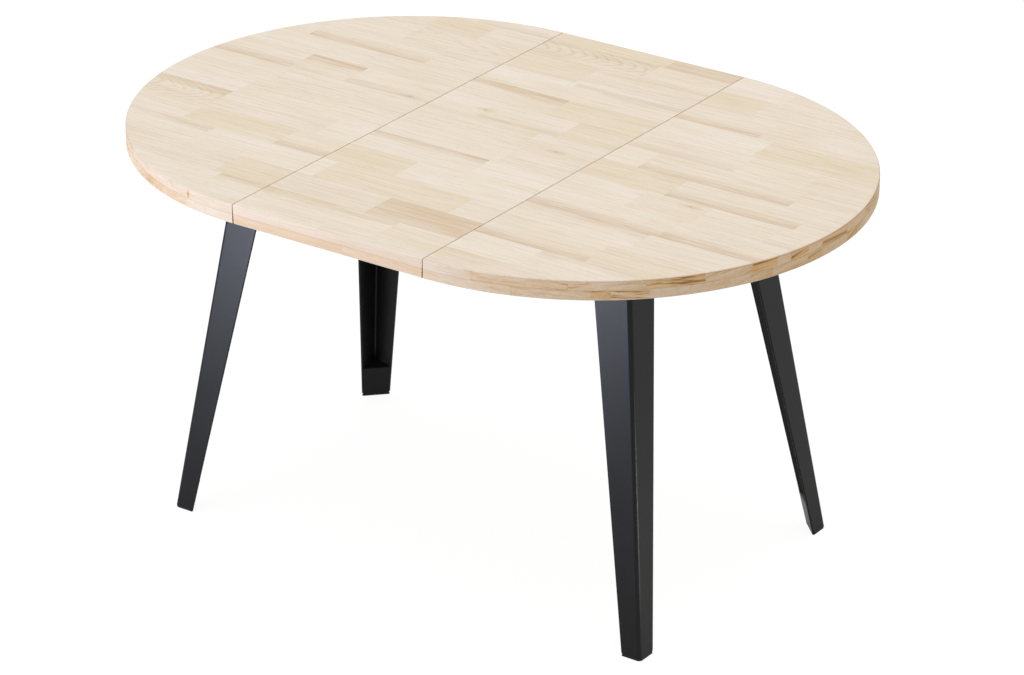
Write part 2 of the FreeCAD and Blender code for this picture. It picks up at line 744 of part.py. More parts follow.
def build_top():
    for name, side in SIDES:
        half_board(f"{name}_upper_board", side, "glue_line", "table_height")
        half_board(f"{name}_lower_board", side, "under", "under")
    leaf_board("leaf_upper_board", "glue_line", "table_height", "table_height")
    leaf_board("leaf_lower_board", "under", "glue_line", "under")


def build_legs(leg_screw):
    for name, side in SIDES:
        holes = []
        for where, end in ENDS:
            leg(f"{name}_{where}_leg", side, end)
            leg_plate(f"{name}_{where}_leg_plate", side, end)
            foot_plate(f"{name}_{where}_foot_plate", side, end)
            glide(f"{name}_{where}_glide", side, end)
            spots = [from_corner(side, end, "top", u, v) for u, v in LEG_HOLES]
            holes += [(x, y, "leg_head") for x, y in spots]
        placed_copies(f"{name}_leg_screws", leg_screw, holes)


def build_slides(bar_screw, tie_screw):
    for where, end in ENDS:
        centre_rail(f"{where}_rail", end)
        pinion(f"{where}_pinion", end)
    pin = turned("pinion_pin", (
        ("0", "0"),
        ("pin_radius", "0"),
        ("pin_radius", "rack_roof + pin_above - slide_floor"),
        ("0", "rack_roof + pin_above - slide_floor"),
    ))
    middles = [("0", signed(end, "slide_across"), "slide_floor") for _, end in ENDS]
    placed_copies("pinion_pins", pin, middles)
    for name, side in SIDES:
        spots = []
        for where, end in ENDS:
            sliding_bar(f"{name}_{where}_bar", side, end)
            rack(f"{name}_{where}_rack", side, end)
            spots += bar_screw_spots(side, end)
        placed_copies(f"{name}_bar_screws", bar_screw, [(x, y, "slide_floor") for x, y in spots])
    ties = []
    for name, side in SIDES:
        cross_tie(f"{name}_tie", side)
        for _, end in ENDS:
            ties.append((signed(side, "tie_along"), signed(end, "slide_across"), "slide_floor - tie_depth"))
    placed_copies("tie_screws", tie_screw, ties)


def build_latches():
    """One hook at each seam, and a catch on the leaf and on the right half for both states."""
    places = {
        "left": ["-seam - latch_setback"],
        "leaf": ["-leaf_edge + latch_reach", "leaf_edge - latch_setback"],
        "right": ["seam + latch_reach"],
    }
    screw = shoulder_screw("latch_screw")
    for name, along in places.items():
        placed_copies(f"{name}_latch_screws", screw, [(x, "0", "under") for x in along])
    hook("left_hook", places["left"][0])
    hook("leaf_hook", places["leaf"][1])


def check_document():
    """Stop if any object failed or any piece is empty or open."""
    faults = []
    for thing in doc.Objects:
        if "Invalid" in thing.State or "Error" in thing.State:
            faults.append(f"{thing.Label} is {thing.State}")
    for node in nodes:
        shape = node.Shape
        if shape.isNull() or not shape.isValid() or not shape.Solids:
            faults.append(f"{node.Label} has no sound shape")
        elif min(solid.Volume for solid in shape.Solids) <= 0:
            faults.append(f"{node.Label} has an empty solid")
    if faults:
        raise RuntimeError("; ".join(faults))


def export_nodes():
    os.makedirs("parts", exist_ok=True)
    for node in nodes:
        node.Shape.exportStep(f"parts/{node.Label}.step")


build_top()
build_legs(wood_screw("leg_screw", "leg_screw_length"))
build_slides(wood_screw("bar_screw", "bar_screw_length"), wood_screw("tie_screw", "tie_screw_length"))
build_latches()
doc.recompute()
check_document()
export_nodes()
print(len(nodes), "nodes")
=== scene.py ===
"""Round dining table, pulled out, with its loose leaf in place: its pieces, finishes and studio."""
import math
import random
from functools import partial

import bmesh
import bpy
from bpy.props import FloatProperty, FloatVectorProperty, IntProperty, PointerProperty
from mathutils import Matrix, Vector


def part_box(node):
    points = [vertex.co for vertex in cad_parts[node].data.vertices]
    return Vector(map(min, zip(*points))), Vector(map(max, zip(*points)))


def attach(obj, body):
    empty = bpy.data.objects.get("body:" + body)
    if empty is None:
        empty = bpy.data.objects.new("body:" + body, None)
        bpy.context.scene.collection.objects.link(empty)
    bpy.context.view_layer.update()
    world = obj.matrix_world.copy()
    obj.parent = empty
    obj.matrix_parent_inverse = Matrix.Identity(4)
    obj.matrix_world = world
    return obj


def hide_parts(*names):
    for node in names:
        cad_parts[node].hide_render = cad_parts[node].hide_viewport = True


bl_info = {
    "name": "Extending dining table",
    "version": (1, 0, 0),
    "blender": (4, 5, 0),
    "location": "3D View > Sidebar > Table",
    "description": "Builds the pieces, finishes and studio of a round dining table that pulls out",
    "category": "Object",
}

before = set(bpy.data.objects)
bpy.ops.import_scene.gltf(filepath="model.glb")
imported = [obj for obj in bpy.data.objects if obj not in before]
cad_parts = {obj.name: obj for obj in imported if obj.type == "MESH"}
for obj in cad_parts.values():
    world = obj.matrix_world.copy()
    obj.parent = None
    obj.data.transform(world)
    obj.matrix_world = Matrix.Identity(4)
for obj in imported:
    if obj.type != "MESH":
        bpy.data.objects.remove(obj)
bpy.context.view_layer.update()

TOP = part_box("left_upper_board")[1].z
GLUE_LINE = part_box("left_upper_board")[0].z
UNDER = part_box("left_lower_board")[0].z
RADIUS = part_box("left_upper_board")[1].y
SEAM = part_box("right_upper_board")[0].x
LEAF_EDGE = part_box("leaf_upper_board")[1].x
LEAF_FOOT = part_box("leaf_lower_board")[1].x
LEAF_HALF = (SEAM + LEAF_EDGE) / 2
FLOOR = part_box("left_front_glide")[0].z
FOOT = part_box("right_back_leg")[0].z
LEG_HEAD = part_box("right_back_leg")[1].z
LEG_RISE = LEG_HEAD - FOOT
LEG_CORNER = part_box("right_back_leg")[1]
LEG_LEAN = LEG_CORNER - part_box("right_back_leg_plate")[1]

SIDES = (("left", -1), ("right", 1))
ENDS = (("front", -1), ("back", 1))

# The kinds of node that are used most. A range takes a value, the low and the high end of it, and
# what they turn into.
MATH = "ShaderNodeMath"
VECTOR = "ShaderNodeVectorMath"
RANGE = "ShaderNodeMapRange"
MIX = "ShaderNodeMix"
NOISE = "ShaderNodeTexNoise"
CYLINDER = "GeometryNodeMeshCylinder"
PRODUCT = {"operation": "MULTIPLY", "use_clamp": True}
WHITE = (1, 1, 1, 1)

# What tells one level from the next, how far the slides are planed below the boards, and how wide
# the edges of the slides and of the hooks are broken.
HAIR = 1e-4
PLANED_OFF = 0.00015
BEECH_ARRIS = 0.0006
HOOK_ARRIS = 0.0004

# A screw's head draws in by this share at its crown, and its recess is so long and so wide in
# radii of the head; its thread is as deep as this share of it, and ends in a point.
CROWN = 0.34
RECESS = (1.15, 0.24)
THREAD_DEPTH = 0.28
TIP = 0.004
TIP_END = 0.1
LATCH_SCREW = {
    "Head radius": 0.0055, "Head height": 0.0015, "Shoulder radius": 0.003, "Shoulder": 0.0031}

# Weld beads: from the edges of the sides at the head and at the foot plates, and where those at
# the foot plates begin and end below the plates' upper edges.
HEAD_INSET = 0.008
CORNER_INSET = 0.006
CORNER_BEAD = (0.001, 0.011)

# How brown a stave is, how brown its far (+) or near (-) edge is, and how yellow it is.
LOOKS = {
    "pale": (0.0, 0.0, 0.0),
    "plain": (0.12, 0.0, 0.15),
    "rosy": (0.2, 0.0, 0.0),
    "honey": (0.14, 0.0, 1.0),
    "brown": (0.8, 0.0, 0.6),
    "brown_near": (0.1, -1.0, 0.15),
    "brown_far": (0.1, 1.0, 0.15),
    "streaky_near": (0.08, -0.55, 0.1),
    "streaky_far": (0.08, 0.55, 0.1),
    "figured": (0.14, 0.0, 0.2),
    "brown_figured": (0.16, 0.6, 0.2),
}

# How far a stave's rings stand out in arches on the face of the board.
FIGURE = {"figured": 0.16, "brown_figured": 0.33}

# How brown the rim is, in the upper and the lower layer of each piece: where each block starts,
# in millimetres from the middle of the table towards the back, and its brownness.
RIM = {
    "left": (
        ((-500, 0.25), (-488.7, 1.0), (-487.4, 0.25), (-300, 0.4), (-100, 0.3), (120, 0.5),
         (330, 0.35)),
        ((-500, 0.25), (-487, 0.5), (-425, 0.3), (-380, 0.55), (-180, 0.45), (40, 0.6), (290, 0.4)),
    ),
    "leaf": (((-500, 0.3), (499, 0.5)), ((-500, 0.66), (499, 0.4))),
    "right": (
        ((-500, 0.2), (-491, 0.6), (-413, 0.42), (-357, 0.85), (-280, 0.5), (-202, 1.15),
         (-155, 0.35), (-125, 1.05), (-85, 0.45), (-47, 0.9), (30, 0.4), (108, 0.8), (185, 0.35),
         (263, 0.6), (340, 0.36)),
        ((-500, 0.45), (-498, 0.35), (-483, 0.5), (-468, 0.48), (-413, 0.8), (-352, 0.35),
         (-202, 0.55), (-125, 0.7), (-47, 0.3), (30, 0.7), (108, 0.3), (263, 0.5)),
    ),
}

# Painted shade in the seams: how brown the end grain is made that the halves and the leaf turn to
# each other, to stand for the shadow in the gap between them.
SEAM_PAINTED_SHADE = 4.0

# Small knots in the top, in millimetres from the middle of the table.
KNOTS = ((120, 6), (446, -64), (-95, 98), (-246, 74))

# The upper layer of each piece: where its first row ends at the back, and row by row from the
# back the staves' looks from left to right, with the joint between each two of them, in
# millimetres from the middle of the table.
STAVES = {
    "left": (530.5, (
        ("plain", -365, "streaky_near"),
        ("plain", -435, "honey", -315, "rosy"),
        ("pale", -430, "figured"),
        ("pale", -587, "brown_near", -322, "streaky_far"),
        ("pale", -415, "plain"),
        ("brown_near", -515, "brown_far", -390, "streaky_near"),
        ("plain", -500, "plain"),
        ("pale", -520, "plain", -330, "streaky_far"),
        ("brown_figured", -522, "rosy", -280, "pale"),
        ("plain", -520, "honey", -312, "brown_near"),
        ("streaky_far", -440, "pale"),
        ("rosy", -320, "honey"),
        ("pale", -300, "streaky_far"),
        ("plain",),
    )),
    "leaf": (530.5, (
        ("honey", 55, "brown"),
        ("brown_figured", 45, "streaky_near"),
        ("honey", -40, "rosy"),
        ("pale", -30, "streaky_far"),
        ("brown_far", 4, "honey"),
        ("pale", -93, "streaky_near", 81, "honey"),
        ("plain", 48, "rosy"),
        ("plain", 60, "rosy"),
        ("brown_far", 47, "pale"),
        ("honey", -50, "pale"),
        ("pale", -165, "honey", 122, "plain"),
        ("rosy", 5, "brown"),
        ("streaky_far", 80, "plain"),
        ("pale", -20, "plain"),
    )),
    "right": (495.0, (
        ("pale", 330, "plain"),
        ("honey", 310, "rosy"),
        ("brown_near", 375, "plain"),
        ("pale", 411, "honey"),
        ("streaky_near", 421, "plain", 560, "rosy"),
        ("pale", 275, "brown_near", 580, "rosy"),
        ("honey", 380, "brown_near", 640, "plain"),
        ("pale", 350, "rosy", 480, "plain", 624, "streaky_near"),
        ("brown_near", 467, "brown_near"),
        ("streaky_far", 455, "rosy"),
        ("brown_near", 425, "honey"),
        ("pale", 345, "streaky_far"),
        ("rosy",),
    )),
}

# The lamps: colour, spread in degrees, width, height, place and what each points at. The key is a
# low soft box whose glow runs down the legs, the edge is a small one low at the right that draws
# the legs' far sides, and the roof lights the top.
LAMPS = {
    "key": ("#e0e6ff", 180, 0.95, 0.28, (-1.22, -2.14, 0.27), (-0.1, -0.3, 0.5)),
    "edge": ("#ffffff", 32, 0.2, 0.28, (1.39, 0.04, 0.15), (0.47, -0.25, 0.14)),
    "roof": ("#ffffff", 180, 6.7, 6.7, (0.0, 0.0, 8.0), (0.0, 0.0, 0.0)),
}

# The white of the paper where the camera looks at it, and the shares of that which the camera and
# a mirror-like surface see in place of the lit paper.
GLOW = 1.18
GLOW_SEEN = 0.78
GLOW_MIRRORED = 0.25

# The photograph's place, fitted to its outlines: from the front right, looking down 25 degrees,
# and a floor that reaches out of sight.
CAMERA_TURN, CAMERA_RISE, CAMERA_ROLL = 0.6110, 0.4351, -0.0015
CAMERA_AIM = (0.06619, -0.05112, 0.4)
CAMERA_AWAY = 7.600615
CAMERA_LENS = 150.093
CAMERA_SENSOR = 36.0
FLOOR_HALF = 30


def linear(code):
    """A colour written as sRGB hex, as Blender's linear colour."""
    parts = [int(code[i:i + 2], 16) / 255 for i in (1, 3, 5)]
    return [c / 12.92 if c <= 0.04045 else ((c + 0.055) / 1.055) ** 2.4 for c in parts]


def colour(name, code, description):
    return FloatVectorProperty(
        name=name, description=description, subtype="COLOR", size=3, min=0, max=1, default=linear(code))


def length(name, metres, description):
    return FloatProperty(
        name=name, description=description, default=metres, min=0, unit="LENGTH", precision=5)


def power(name, watts, description):
    return FloatProperty(name=name, description=description, default=watts, min=0, unit="POWER")


class TableWood(bpy.types.PropertyGroup):
    """Sizes and colours of the top and the slides."""

    edge_round: length("Edge rounding", 0.003, "Radius of the top's upper and lower edges")
    stave_width: length("Stave width", 0.0775, "Width of a row of staves")
    rim_steps: IntProperty(
        name="Rim steps", description="Facets round a half of the rim", default=260, min=24)
    seed: IntProperty(name="Seed", description="Picks the grain of each stave", default=11)
    pale: colour("Pale wood", "#f3e9dd", "Sapwood of the lightest staves")
    warm: colour("Warm wood", "#e5d3ae", "Yellower staves")
    brown: colour("Brown wood", "#c09661", "Streaks towards the heart of the log")
    ends: colour("End grain", "#e0ac5c", "Where the rim cuts across the fibres")
    line: colour("Glue line", "#a07b55", "Joint between two staves")
    heart: colour("Heartwood", "#7d4a28", "Darkest rings where the rim cuts them")
    beech: colour("Beech", "#c79f72", "Wood of the hidden slides")


class TableMetal(bpy.types.PropertyGroup):
    """Sizes and colours of the legs, the screws and the latches."""

    sheet: length("Leg sheet", 0.004, "Thickness of the legs' bent sheet")
    bend: length("Bend", 0.007, "Outer radius of a leg's bend")
    flange_top: length("Flange at the top", 0.079, "Width of a leg's side at its top")
    flange_foot: length("Flange at the foot", 0.0395, "Width of a leg's side at its foot")
    foot_round: length("Foot rounding", 0.005, "Rounding of a side's free corner at the foot")
    foot_plate: length("Foot plate", 0.062, "Height of the plate that closes a foot")
    arris: length("Edge break", 0.0005, "Break of the cut edges of sheet")
    head: length("Screw head", 0.0042, "Radius of a wood screw's head")
    head_height: length("Screw head height", 0.0024, "Height of a wood screw's head")
    thread: length("Thread", 0.0022, "Outer radius of a screw's thread")
    pitch: length("Pitch", 0.002, "One turn of a screw's thread")
    bead: length("Weld bead", 0.002, "Radius of a weld bead")
    powder: colour("Powder coat", "#100f0f", "Black finish of the legs")
    zinc: colour("Zinc", "#b9b8b3", "Plating of the screws and latches")
    nylon: colour("Nylon", "#e4e1d3", "Moulding of the racks and pinions")
    glide: colour("Glide", "#17171a", "Moulding of the pads under the feet")


class TableStage(bpy.types.PropertyGroup):
    """Light and floor of the studio."""

    key_power: power("Key light", 23.5, "Power of the soft box at the front left")
    roof_power: power("Roof light", 174, "Power of the wide light overhead")
    edge_power: power("Edge light", 0.24, "Power of the small light low at the right")
    sky: FloatProperty(
        name="Room light", description="Strength of the even light all round", default=0.7, min=0)
    floor: colour("Floor", "#d0d0d0", "Colour of the floor")


def node(tree, kind, inputs=(), **settings):
    """Add a node with its settings; an input is a value, a socket, or a node for its first output."""
    made = tree.nodes.new(kind)
    for name, value in settings.items():
        setattr(made, name, value)
    for key, value in inputs.items() if isinstance(inputs, dict) else enumerate(inputs):
        if isinstance(key, str):
            socket = next(s for s in made.inputs if s.enabled and s.name == key)
        else:
            socket = made.inputs[key]
        if isinstance(value, bpy.types.Node):
            value = next(s for s in value.outputs if s.enabled)
        if isinstance(value, bpy.types.NodeSocket):
            tree.links.new(value, socket)
        elif value is not None:
            socket.default_value = value
    return made


def new_material(name):
    """An empty material, and what adds a node to it."""
    material = bpy.data.materials.new(name)
    material.use_nodes = True
    material.node_tree.nodes.clear()
    return material, partial(node, material.node_tree)


def rgb(values):
    return (*values, 1)


def clouded(add, tone, pattern, low, high):
    """A colour that a pattern makes darker and lighter."""
    shade = add(RANGE, [pattern, 0.0, 1.0, low, high])
    return add(MIX, {"Factor": 1.0, "A": rgb(tone), "B": shade},
               data_type="RGBA", blend_type="MULTIPLY")


def surfaced(add, base, rough, height, strength, depth, **rest):
    """End a material: its shader, over the fine relief that a height gives."""
    relief = add("ShaderNodeBump", {"Height": height, "Strength": strength, "Distance": depth})
    inputs = {"Base Color": base, "Roughness": rough, "Normal": relief, **rest}
    shader = add("ShaderNodeBsdfPrincipled", inputs)
    add("ShaderNodeOutputMaterial", {"Surface": shader})


def rubberwood(wood):
    """Oiled rubberwood: finger-wide staves glued side by side, planed and sanded; matt and straw
    pale, with brown streaks, soft rings, short pores, and darker where the rim cuts end grain;
    the faces at the seams are browned hard as painted shade."""
    material, add = new_material("rubberwood_oiled_staves")
    coordinates = add("ShaderNodeTexCoord").outputs
    place = coordinates["Object"]
    x, y, z = add("ShaderNodeSeparateXYZ", [place]).outputs

    noted = {}
    for name in ("span", "look", "grain", "lot", "rim"):
        noted[name] = add("ShaderNodeAttribute", attribute_name="stave_" + name).outputs
    left, right, near = add("ShaderNodeSeparateXYZ", [noted["span"]["Vector"]]).outputs
    tone, edge, honey = add("ShaderNodeSeparateXYZ", [noted["look"]["Vector"]]).outputs
    pith_y, pith_z, climb = add("ShaderNodeSeparateXYZ", [noted["grain"]["Vector"]]).outputs
    lot, rim = noted["lot"]["Fac"], noted["rim"]["Fac"]
    shift = add(VECTOR, {0: (37.0, 53.0, 71.0), "Scale": lot}, operation="SCALE")

    def grown_in(scale, detail, roughness=0.5, spot=place):
        """Noise with features 1 / scale metres long each way, other in each stave."""
        scaled = add(VECTOR, [spot, scale], operation="MULTIPLY")
        moved = add(VECTOR, [scaled, shift], operation="ADD")
        return add(NOISE, {
            "Vector": moved, "Scale": 1.0, "Detail": detail, "Roughness": roughness})

    def from_pith(across, down):
        """How far a spot is from the pith, in the plane across the stave."""
        flat = add("ShaderNodeCombineXYZ", [0.0, across, down])
        return add(VECTOR, [flat], operation="LENGTH").outputs["Value"]

    # slow drift along a stave, streaks 9 mm by 200 mm, lines 3 mm by 100 mm, and pores 0.5 mm by
    # 9 mm; lines and pores are about twice as wide as real ones so that they show
    drift = grown_in((4.0, 14.0, 14.0), 2.0)
    streak = grown_in((5.0, 110.0, 110.0), 3.0, 0.65)
    fine = grown_in((10.0, 340.0, 340.0), 3.0, 0.65)
    pore = grown_in((110.0, 2000.0, 2000.0), 1.0)

    # growth rings 9 mm apart round the stave's pith; climb makes them close in arches along X
    off_y = add(MATH, [y, pith_y], operation="SUBTRACT")
    off_z = add(MATH, [z, pith_z], operation="SUBTRACT")
    along = add(MATH, [x, climb, from_pith(off_y, off_z)], operation="MULTIPLY_ADD")
    wavy = add(MATH, [drift, 0.045, along], operation="MULTIPLY_ADD")
    turns = add(MATH, [wavy, math.tau / 0.009], operation="MULTIPLY")
    wave = add(MATH, [turns], operation="SINE")
    ring = add(RANGE, [wave, 0.2, 1.0, 0.0, 1.0])

    # where the rim cuts a stave its rings show as lines 5 mm apart that run nearly level
    gentle = add(MATH, [off_y, 0.5], operation="MULTIPLY")
    sunk = add(MATH, [off_z, 0.12], operation="ADD")
    level = add("ShaderNodeCombineXYZ", [x, from_pith(gentle, sunk), 0.0])
    sliced = grown_in((20.0, 220.0, 1.0), 3.0, 0.7, level)

    # distance across the stave as a share, and the brown band along one of its edges, which
    # comes and goes along the stave
    across = add(MATH, [y, near], operation="SUBTRACT")
    share = add(MATH, [across, wood.stave_width], operation="DIVIDE")
    uneven = add(MATH, [streak, 0.5, share], operation="MULTIPLY_ADD")
    uneven = add(MATH, [drift, 0.5, uneven], operation="MULTIPLY_ADD")
    centred = add(MATH, [uneven, 1.0], operation="SUBTRACT")
    aimed = add(MATH, [centred, edge], operation="MULTIPLY")
    band = add(RANGE, [aimed, 0.08, 0.42, 0.0, 1.0])
    band = add(MATH, [band, add(RANGE, [fine, 0.3, 0.65, 0.35, 1.0])], **PRODUCT)

    # end grain where the rim cuts across the stave
    facing = add("ShaderNodeSeparateXYZ", [coordinates["Normal"]]).outputs[0]
    cut = add(MATH, [facing], operation="ABSOLUTE")
    end = add(RANGE, [cut, 0.1, 0.9, 0.0, 1.0])

    # the rings stand out most where they arch and in end grain, and fade between streaks
    depth = add(MATH, [climb], operation="ABSOLUTE")
    depth = add(MATH, [depth, 0.75, 0.03], operation="MULTIPLY_ADD")
    depth = add(MATH, [end, 0.15, depth], operation="MULTIPLY_ADD")
    depth = add(MATH, [depth, add(RANGE, [streak, 0.3, 0.7, 0.2, 1.2])], **PRODUCT)

    # the rim's own lines: soft along the staves, stark in end grain, darkest in brown blocks; on the
    # faces at the seams they are at full strength, as painted shade of the gap between the pieces
    stark = add(RANGE, [cut, 0.0, 0.6, 0.8, 1.1])
    soft = add(RANGE, [cut, 0.0, 0.6, 0.55, 0.2])
    lines = add(MATH, [rim, add(RANGE, [sliced, 0.36, 0.64, soft, stark])], **PRODUCT)
    dark = add(RANGE, [sliced, 0.52, 0.62, 0.0, 1.0])
    dark = add(MATH, [dark, add(RANGE, [cut, 0.0, 0.6, 0.1, 1.0])], **PRODUCT)
    brown = add(MATH, [rim, rim], **PRODUCT)

    # a darker line 2 mm below the upper face, where the rim shows end grain
    edging = add(MATH, [z, TOP - 0.002], operation="SUBTRACT")
    edging = add(MATH, [edging], operation="ABSOLUTE")
    edging = add(RANGE, [edging, 0.0014, 0.0006, 0.0, 0.5])

    # what is laid over the pale wood in turn: how much, and its colour
    dots = add(RANGE, [pore, 0.60, 0.72, 0.0, 0.3])
    stains = [
        (add(MATH, [honey, 0.36], **PRODUCT), wood.warm),
        (add(RANGE, [streak, 0.35, 0.75, 0.0, 0.35]), wood.warm),
        (add(RANGE, [drift, 0.35, 0.7, 0.0, 0.3]), wood.warm),
        (add(MATH, [tone, add(RANGE, [streak, 0.3, 0.7, 0.28, 0.55])], **PRODUCT), wood.brown),
        (add(MATH, [band, 0.52], **PRODUCT), wood.brown),
        (add(MATH, [ring, depth], **PRODUCT), wood.brown),
        (add(RANGE, [fine, 0.5, 0.8, 0.0, 0.37]), wood.brown),
        (add(RANGE, [fine, 0.48, 0.25, 0.0, 0.34]), wood.pale),
        (dots, wood.brown),
        (add(MATH, [end, 0.3], **PRODUCT), wood.ends),
        (lines, wood.ends),
        (add(MATH, [brown, dark], **PRODUCT), wood.heart),
        (add(MATH, [end, edging], **PRODUCT), wood.line),
    ]

    # knots 3 mm across, with a soft brown halo drawn out along the stave
    for knot_x, knot_y in KNOTS:
        spot = (knot_x / 1000, knot_y / 1000, TOP)
        aside = add(VECTOR, [place, spot], operation="SUBTRACT")
        drawn = add(VECTOR, [aside, (0.3, 1.0, 1.0)], operation="MULTIPLY")
        halo = add(VECTOR, [drawn], operation="LENGTH").outputs["Value"]
        core = add(VECTOR, [aside], operation="LENGTH").outputs["Value"]
        stains.append((add(RANGE, [halo, 0.009, 0.002, 0.0, 0.3]), wood.brown))
        stains.append((add(RANGE, [core, 0.0025, 0.001, 0.0, 0.7]), wood.line))

    # glue lines a third of a millimetre wide between rows and ends, a plainer one between layers
    nearest = add(MATH, [x, left], operation="SUBTRACT")
    for a, b in ((right, x), (y, near), (wood.stave_width, across)):
        gap = add(MATH, [a, b], operation="SUBTRACT")
        nearest = add(MATH, [nearest, gap], operation="MINIMUM")
    layer = add(MATH, [z, GLUE_LINE], operation="SUBTRACT")
    layer = add(MATH, [layer], operation="ABSOLUTE")
    stains.append((add(RANGE, [nearest, 0.0006, 0.0002, 0.0, 0.12]), wood.line))
    stains.append((add(RANGE, [layer, 0.0008, 0.0002, 0.0, 0.35]), wood.line))

    base = rgb(wood.pale)
    for share, stain in stains:
        base = add(MIX, {"Factor": share, "A": base, "B": rgb(stain)}, data_type="RGBA")
    rough = add(RANGE, [streak, 0.0, 1.0, 0.5, 0.62])
    height = add(MATH, [dots, -1.0, fine], operation="MULTIPLY_ADD")
    surfaced(add, base, rough, height, 0.12, 0.0004, IOR=1.46)
    return material


def powder_coat(metal):
    """Black polyester powder baked on steel sheet: satin, with the faint orange peel of the melt."""
    material, add = new_material("black_powder_coat")
    place = add("ShaderNodeTexCoord").outputs["Object"]
    # orange peel about 1.5 mm across, and a slow unevenness of the gloss over 60 mm
    peel = add(NOISE, {"Vector": place, "Scale": 650.0, "Detail": 1.0})
    slow = add(NOISE, {"Vector": place, "Scale": 16.0, "Detail": 2.0})
    base = clouded(add, metal.powder, slow, 0.9, 1.1)
    rough = add(RANGE, [slow, 0.0, 1.0, 0.27, 0.34])
    surfaced(add, base, rough, peel, 0.08, 0.0003, **{"IOR": 1.45, "Specular IOR Level": 0.3})
    return material


def beech(wood):
    """Planed beech of the slides: even tan with short dark flecks along the grain."""
    material, add = new_material("beech_planed")
    place = add("ShaderNodeTexCoord").outputs["Object"]
    # flecks 0.8 mm by 5 mm, and streaks 8 mm by 150 mm
    flecked = add(VECTOR, [place, (200.0, 1250.0, 1250.0)], operation="MULTIPLY")
    streaked = add(VECTOR, [place, (7.0, 125.0, 125.0)], operation="MULTIPLY")
    fleck = add(NOISE, {"Vector": flecked, "Scale": 1.0, "Detail": 1.0})
    streak = add(NOISE, {"Vector": streaked, "Scale": 1.0, "Detail": 3.0})
    dark = add(RANGE, [fleck, 0.58, 0.7, 0.0, 0.5])
    soft = add(RANGE, [streak, 0.3, 0.7, 0.0, 0.5])
    base = rgb(wood.beech)
    for share, stain in ((soft, wood.warm), (dark, wood.line)):
        base = add(MIX, {"Factor": share, "A": base, "B": rgb(stain)}, data_type="RGBA")
    surfaced(add, base, 0.62, streak, 0.1, 0.0004)
    return material


def zinc_plate(metal):
    """Zinc plating on steel, passivated clear: pale grey metal with a faint cloudy bloom."""
    material, add = new_material("zinc_plated_steel")
    place = add("ShaderNodeTexCoord").outputs["Object"]
    # cloudiness 5 mm across, and brushing left by the rolls, drawn 0.4 mm wide so that it shows
    bloom = add(NOISE, {"Vector": place, "Scale": 200.0, "Detail": 3.0})
    drawn = add(VECTOR, [place, (150.0, 2500.0, 2500.0)], operation="MULTIPLY")
    rolled = add(NOISE, {"Vector": drawn, "Scale": 1.0, "Detail": 1.0})
    base = clouded(add, metal.zinc, bloom, 0.82, 1.12)
    rough = add(RANGE, [bloom, 0.0, 1.0, 0.28, 0.44])
    surfaced(add, base, rough, rolled, 0.06, 0.0002, Metallic=1.0)
    return material


def moulded(name, tone, ior, low, high):
    """A moulded plastic: even colour, faint flow marks, and the fine grain of a spark-eroded mould."""
    material, add = new_material(name)
    place = add("ShaderNodeTexCoord").outputs["Object"]
    # flow marks 12 mm long, and the mould's grain, drawn 0.5 mm across so that it shows
    flow = add(NOISE, {"Vector": place, "Scale": 80.0, "Detail": 2.0})
    grain = add(NOISE, {"Vector": place, "Scale": 2000.0, "Detail": 1.0})
    base = clouded(add, tone, flow, 0.93, 1.05)
    rough = add(RANGE, [flow, 0.0, 1.0, low, high])
    surfaced(add, base, rough, grain, 0.15, 0.0001, IOR=ior)
    return material


def white_paper(stage):
    """The studio's sweep: matt paper that glows where the camera sees it, so that it is white but
    for the table's soft shadow, and is clear from below, so that the slides can be looked at."""
    material, add = new_material("white_paper")
    rays = add("ShaderNodeLightPath").outputs
    mirrored = add(MATH, [rays["Is Glossy Ray"], rays["Is Transmission Ray"]], operation="MAXIMUM")
    mirrored = add(MATH, [mirrored, GLOW_MIRRORED], operation="MULTIPLY")
    share = add(MATH, [rays["Is Camera Ray"], GLOW_SEEN], operation="MULTIPLY")
    share = add(MATH, [share, mirrored], operation="MAXIMUM")
    paper = add("ShaderNodeBsdfDiffuse", {"Color": rgb(stage.floor)})
    glow = add("ShaderNodeEmission", {"Color": WHITE, "Strength": GLOW})
    both = add("ShaderNodeMixShader", [share, paper, glow])
    below = add("ShaderNodeNewGeometry").outputs["Backfacing"]
    both = add("ShaderNodeMixShader", [below, both, add("ShaderNodeBsdfTransparent")])
    add("ShaderNodeOutputMaterial", {"Surface": both})
    return material


def studio_room(stage):
    """Even light all round, behind a white that is seen by the camera and in mirror-like surfaces."""
    world = bpy.data.worlds.new("studio_room")
    world.use_nodes = True
    world.node_tree.nodes.clear()
    add = partial(node, world.node_tree)
    rays = add("ShaderNodeLightPath").outputs
    seen = rays["Is Camera Ray"]
    for kind in ("Is Glossy Ray", "Is Transmission Ray"):
        seen = add(MATH, [seen, rays[kind]], operation="MAXIMUM")
    light = add("ShaderNodeBackground", {"Color": WHITE, "Strength": stage.sky})
    white = add("ShaderNodeBackground", {"Color": WHITE, "Strength": 1.0})
    both = add("ShaderNodeMixShader", [seen, light, white])
    add("ShaderNodeOutputWorld", {"Surface": both})
    return world


def photo_place():
    """Where the camera stands and how it is turned."""
    level, high = math.cos(CAMERA_RISE), math.sin(CAMERA_RISE)
    back = Vector((math.sin(CAMERA_TURN) * level, -math.cos(CAMERA_TURN) * level, high))
    across = Vector((0, 0, 1)).cross(back).normalized()
    up = back.cross(across)
    right = math.cos(CAMERA_ROLL) * across + math.sin(CAMERA_ROLL) * up
    top = math.cos(CAMERA_ROLL) * up - math.sin(CAMERA_ROLL) * across
    turned = Matrix((right, top, back)).transposed().to_4x4()
    return Matrix.Translation(Vector(CAMERA_AIM) + back * CAMERA_AWAY) @ turned


def finish(material, *names):
    """Give CAD nodes a material."""
    for name in names:
        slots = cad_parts[name].material_slots
        if not slots:
            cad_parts[name].data.materials.append(material)
        for slot in slots:
            slot.material = material


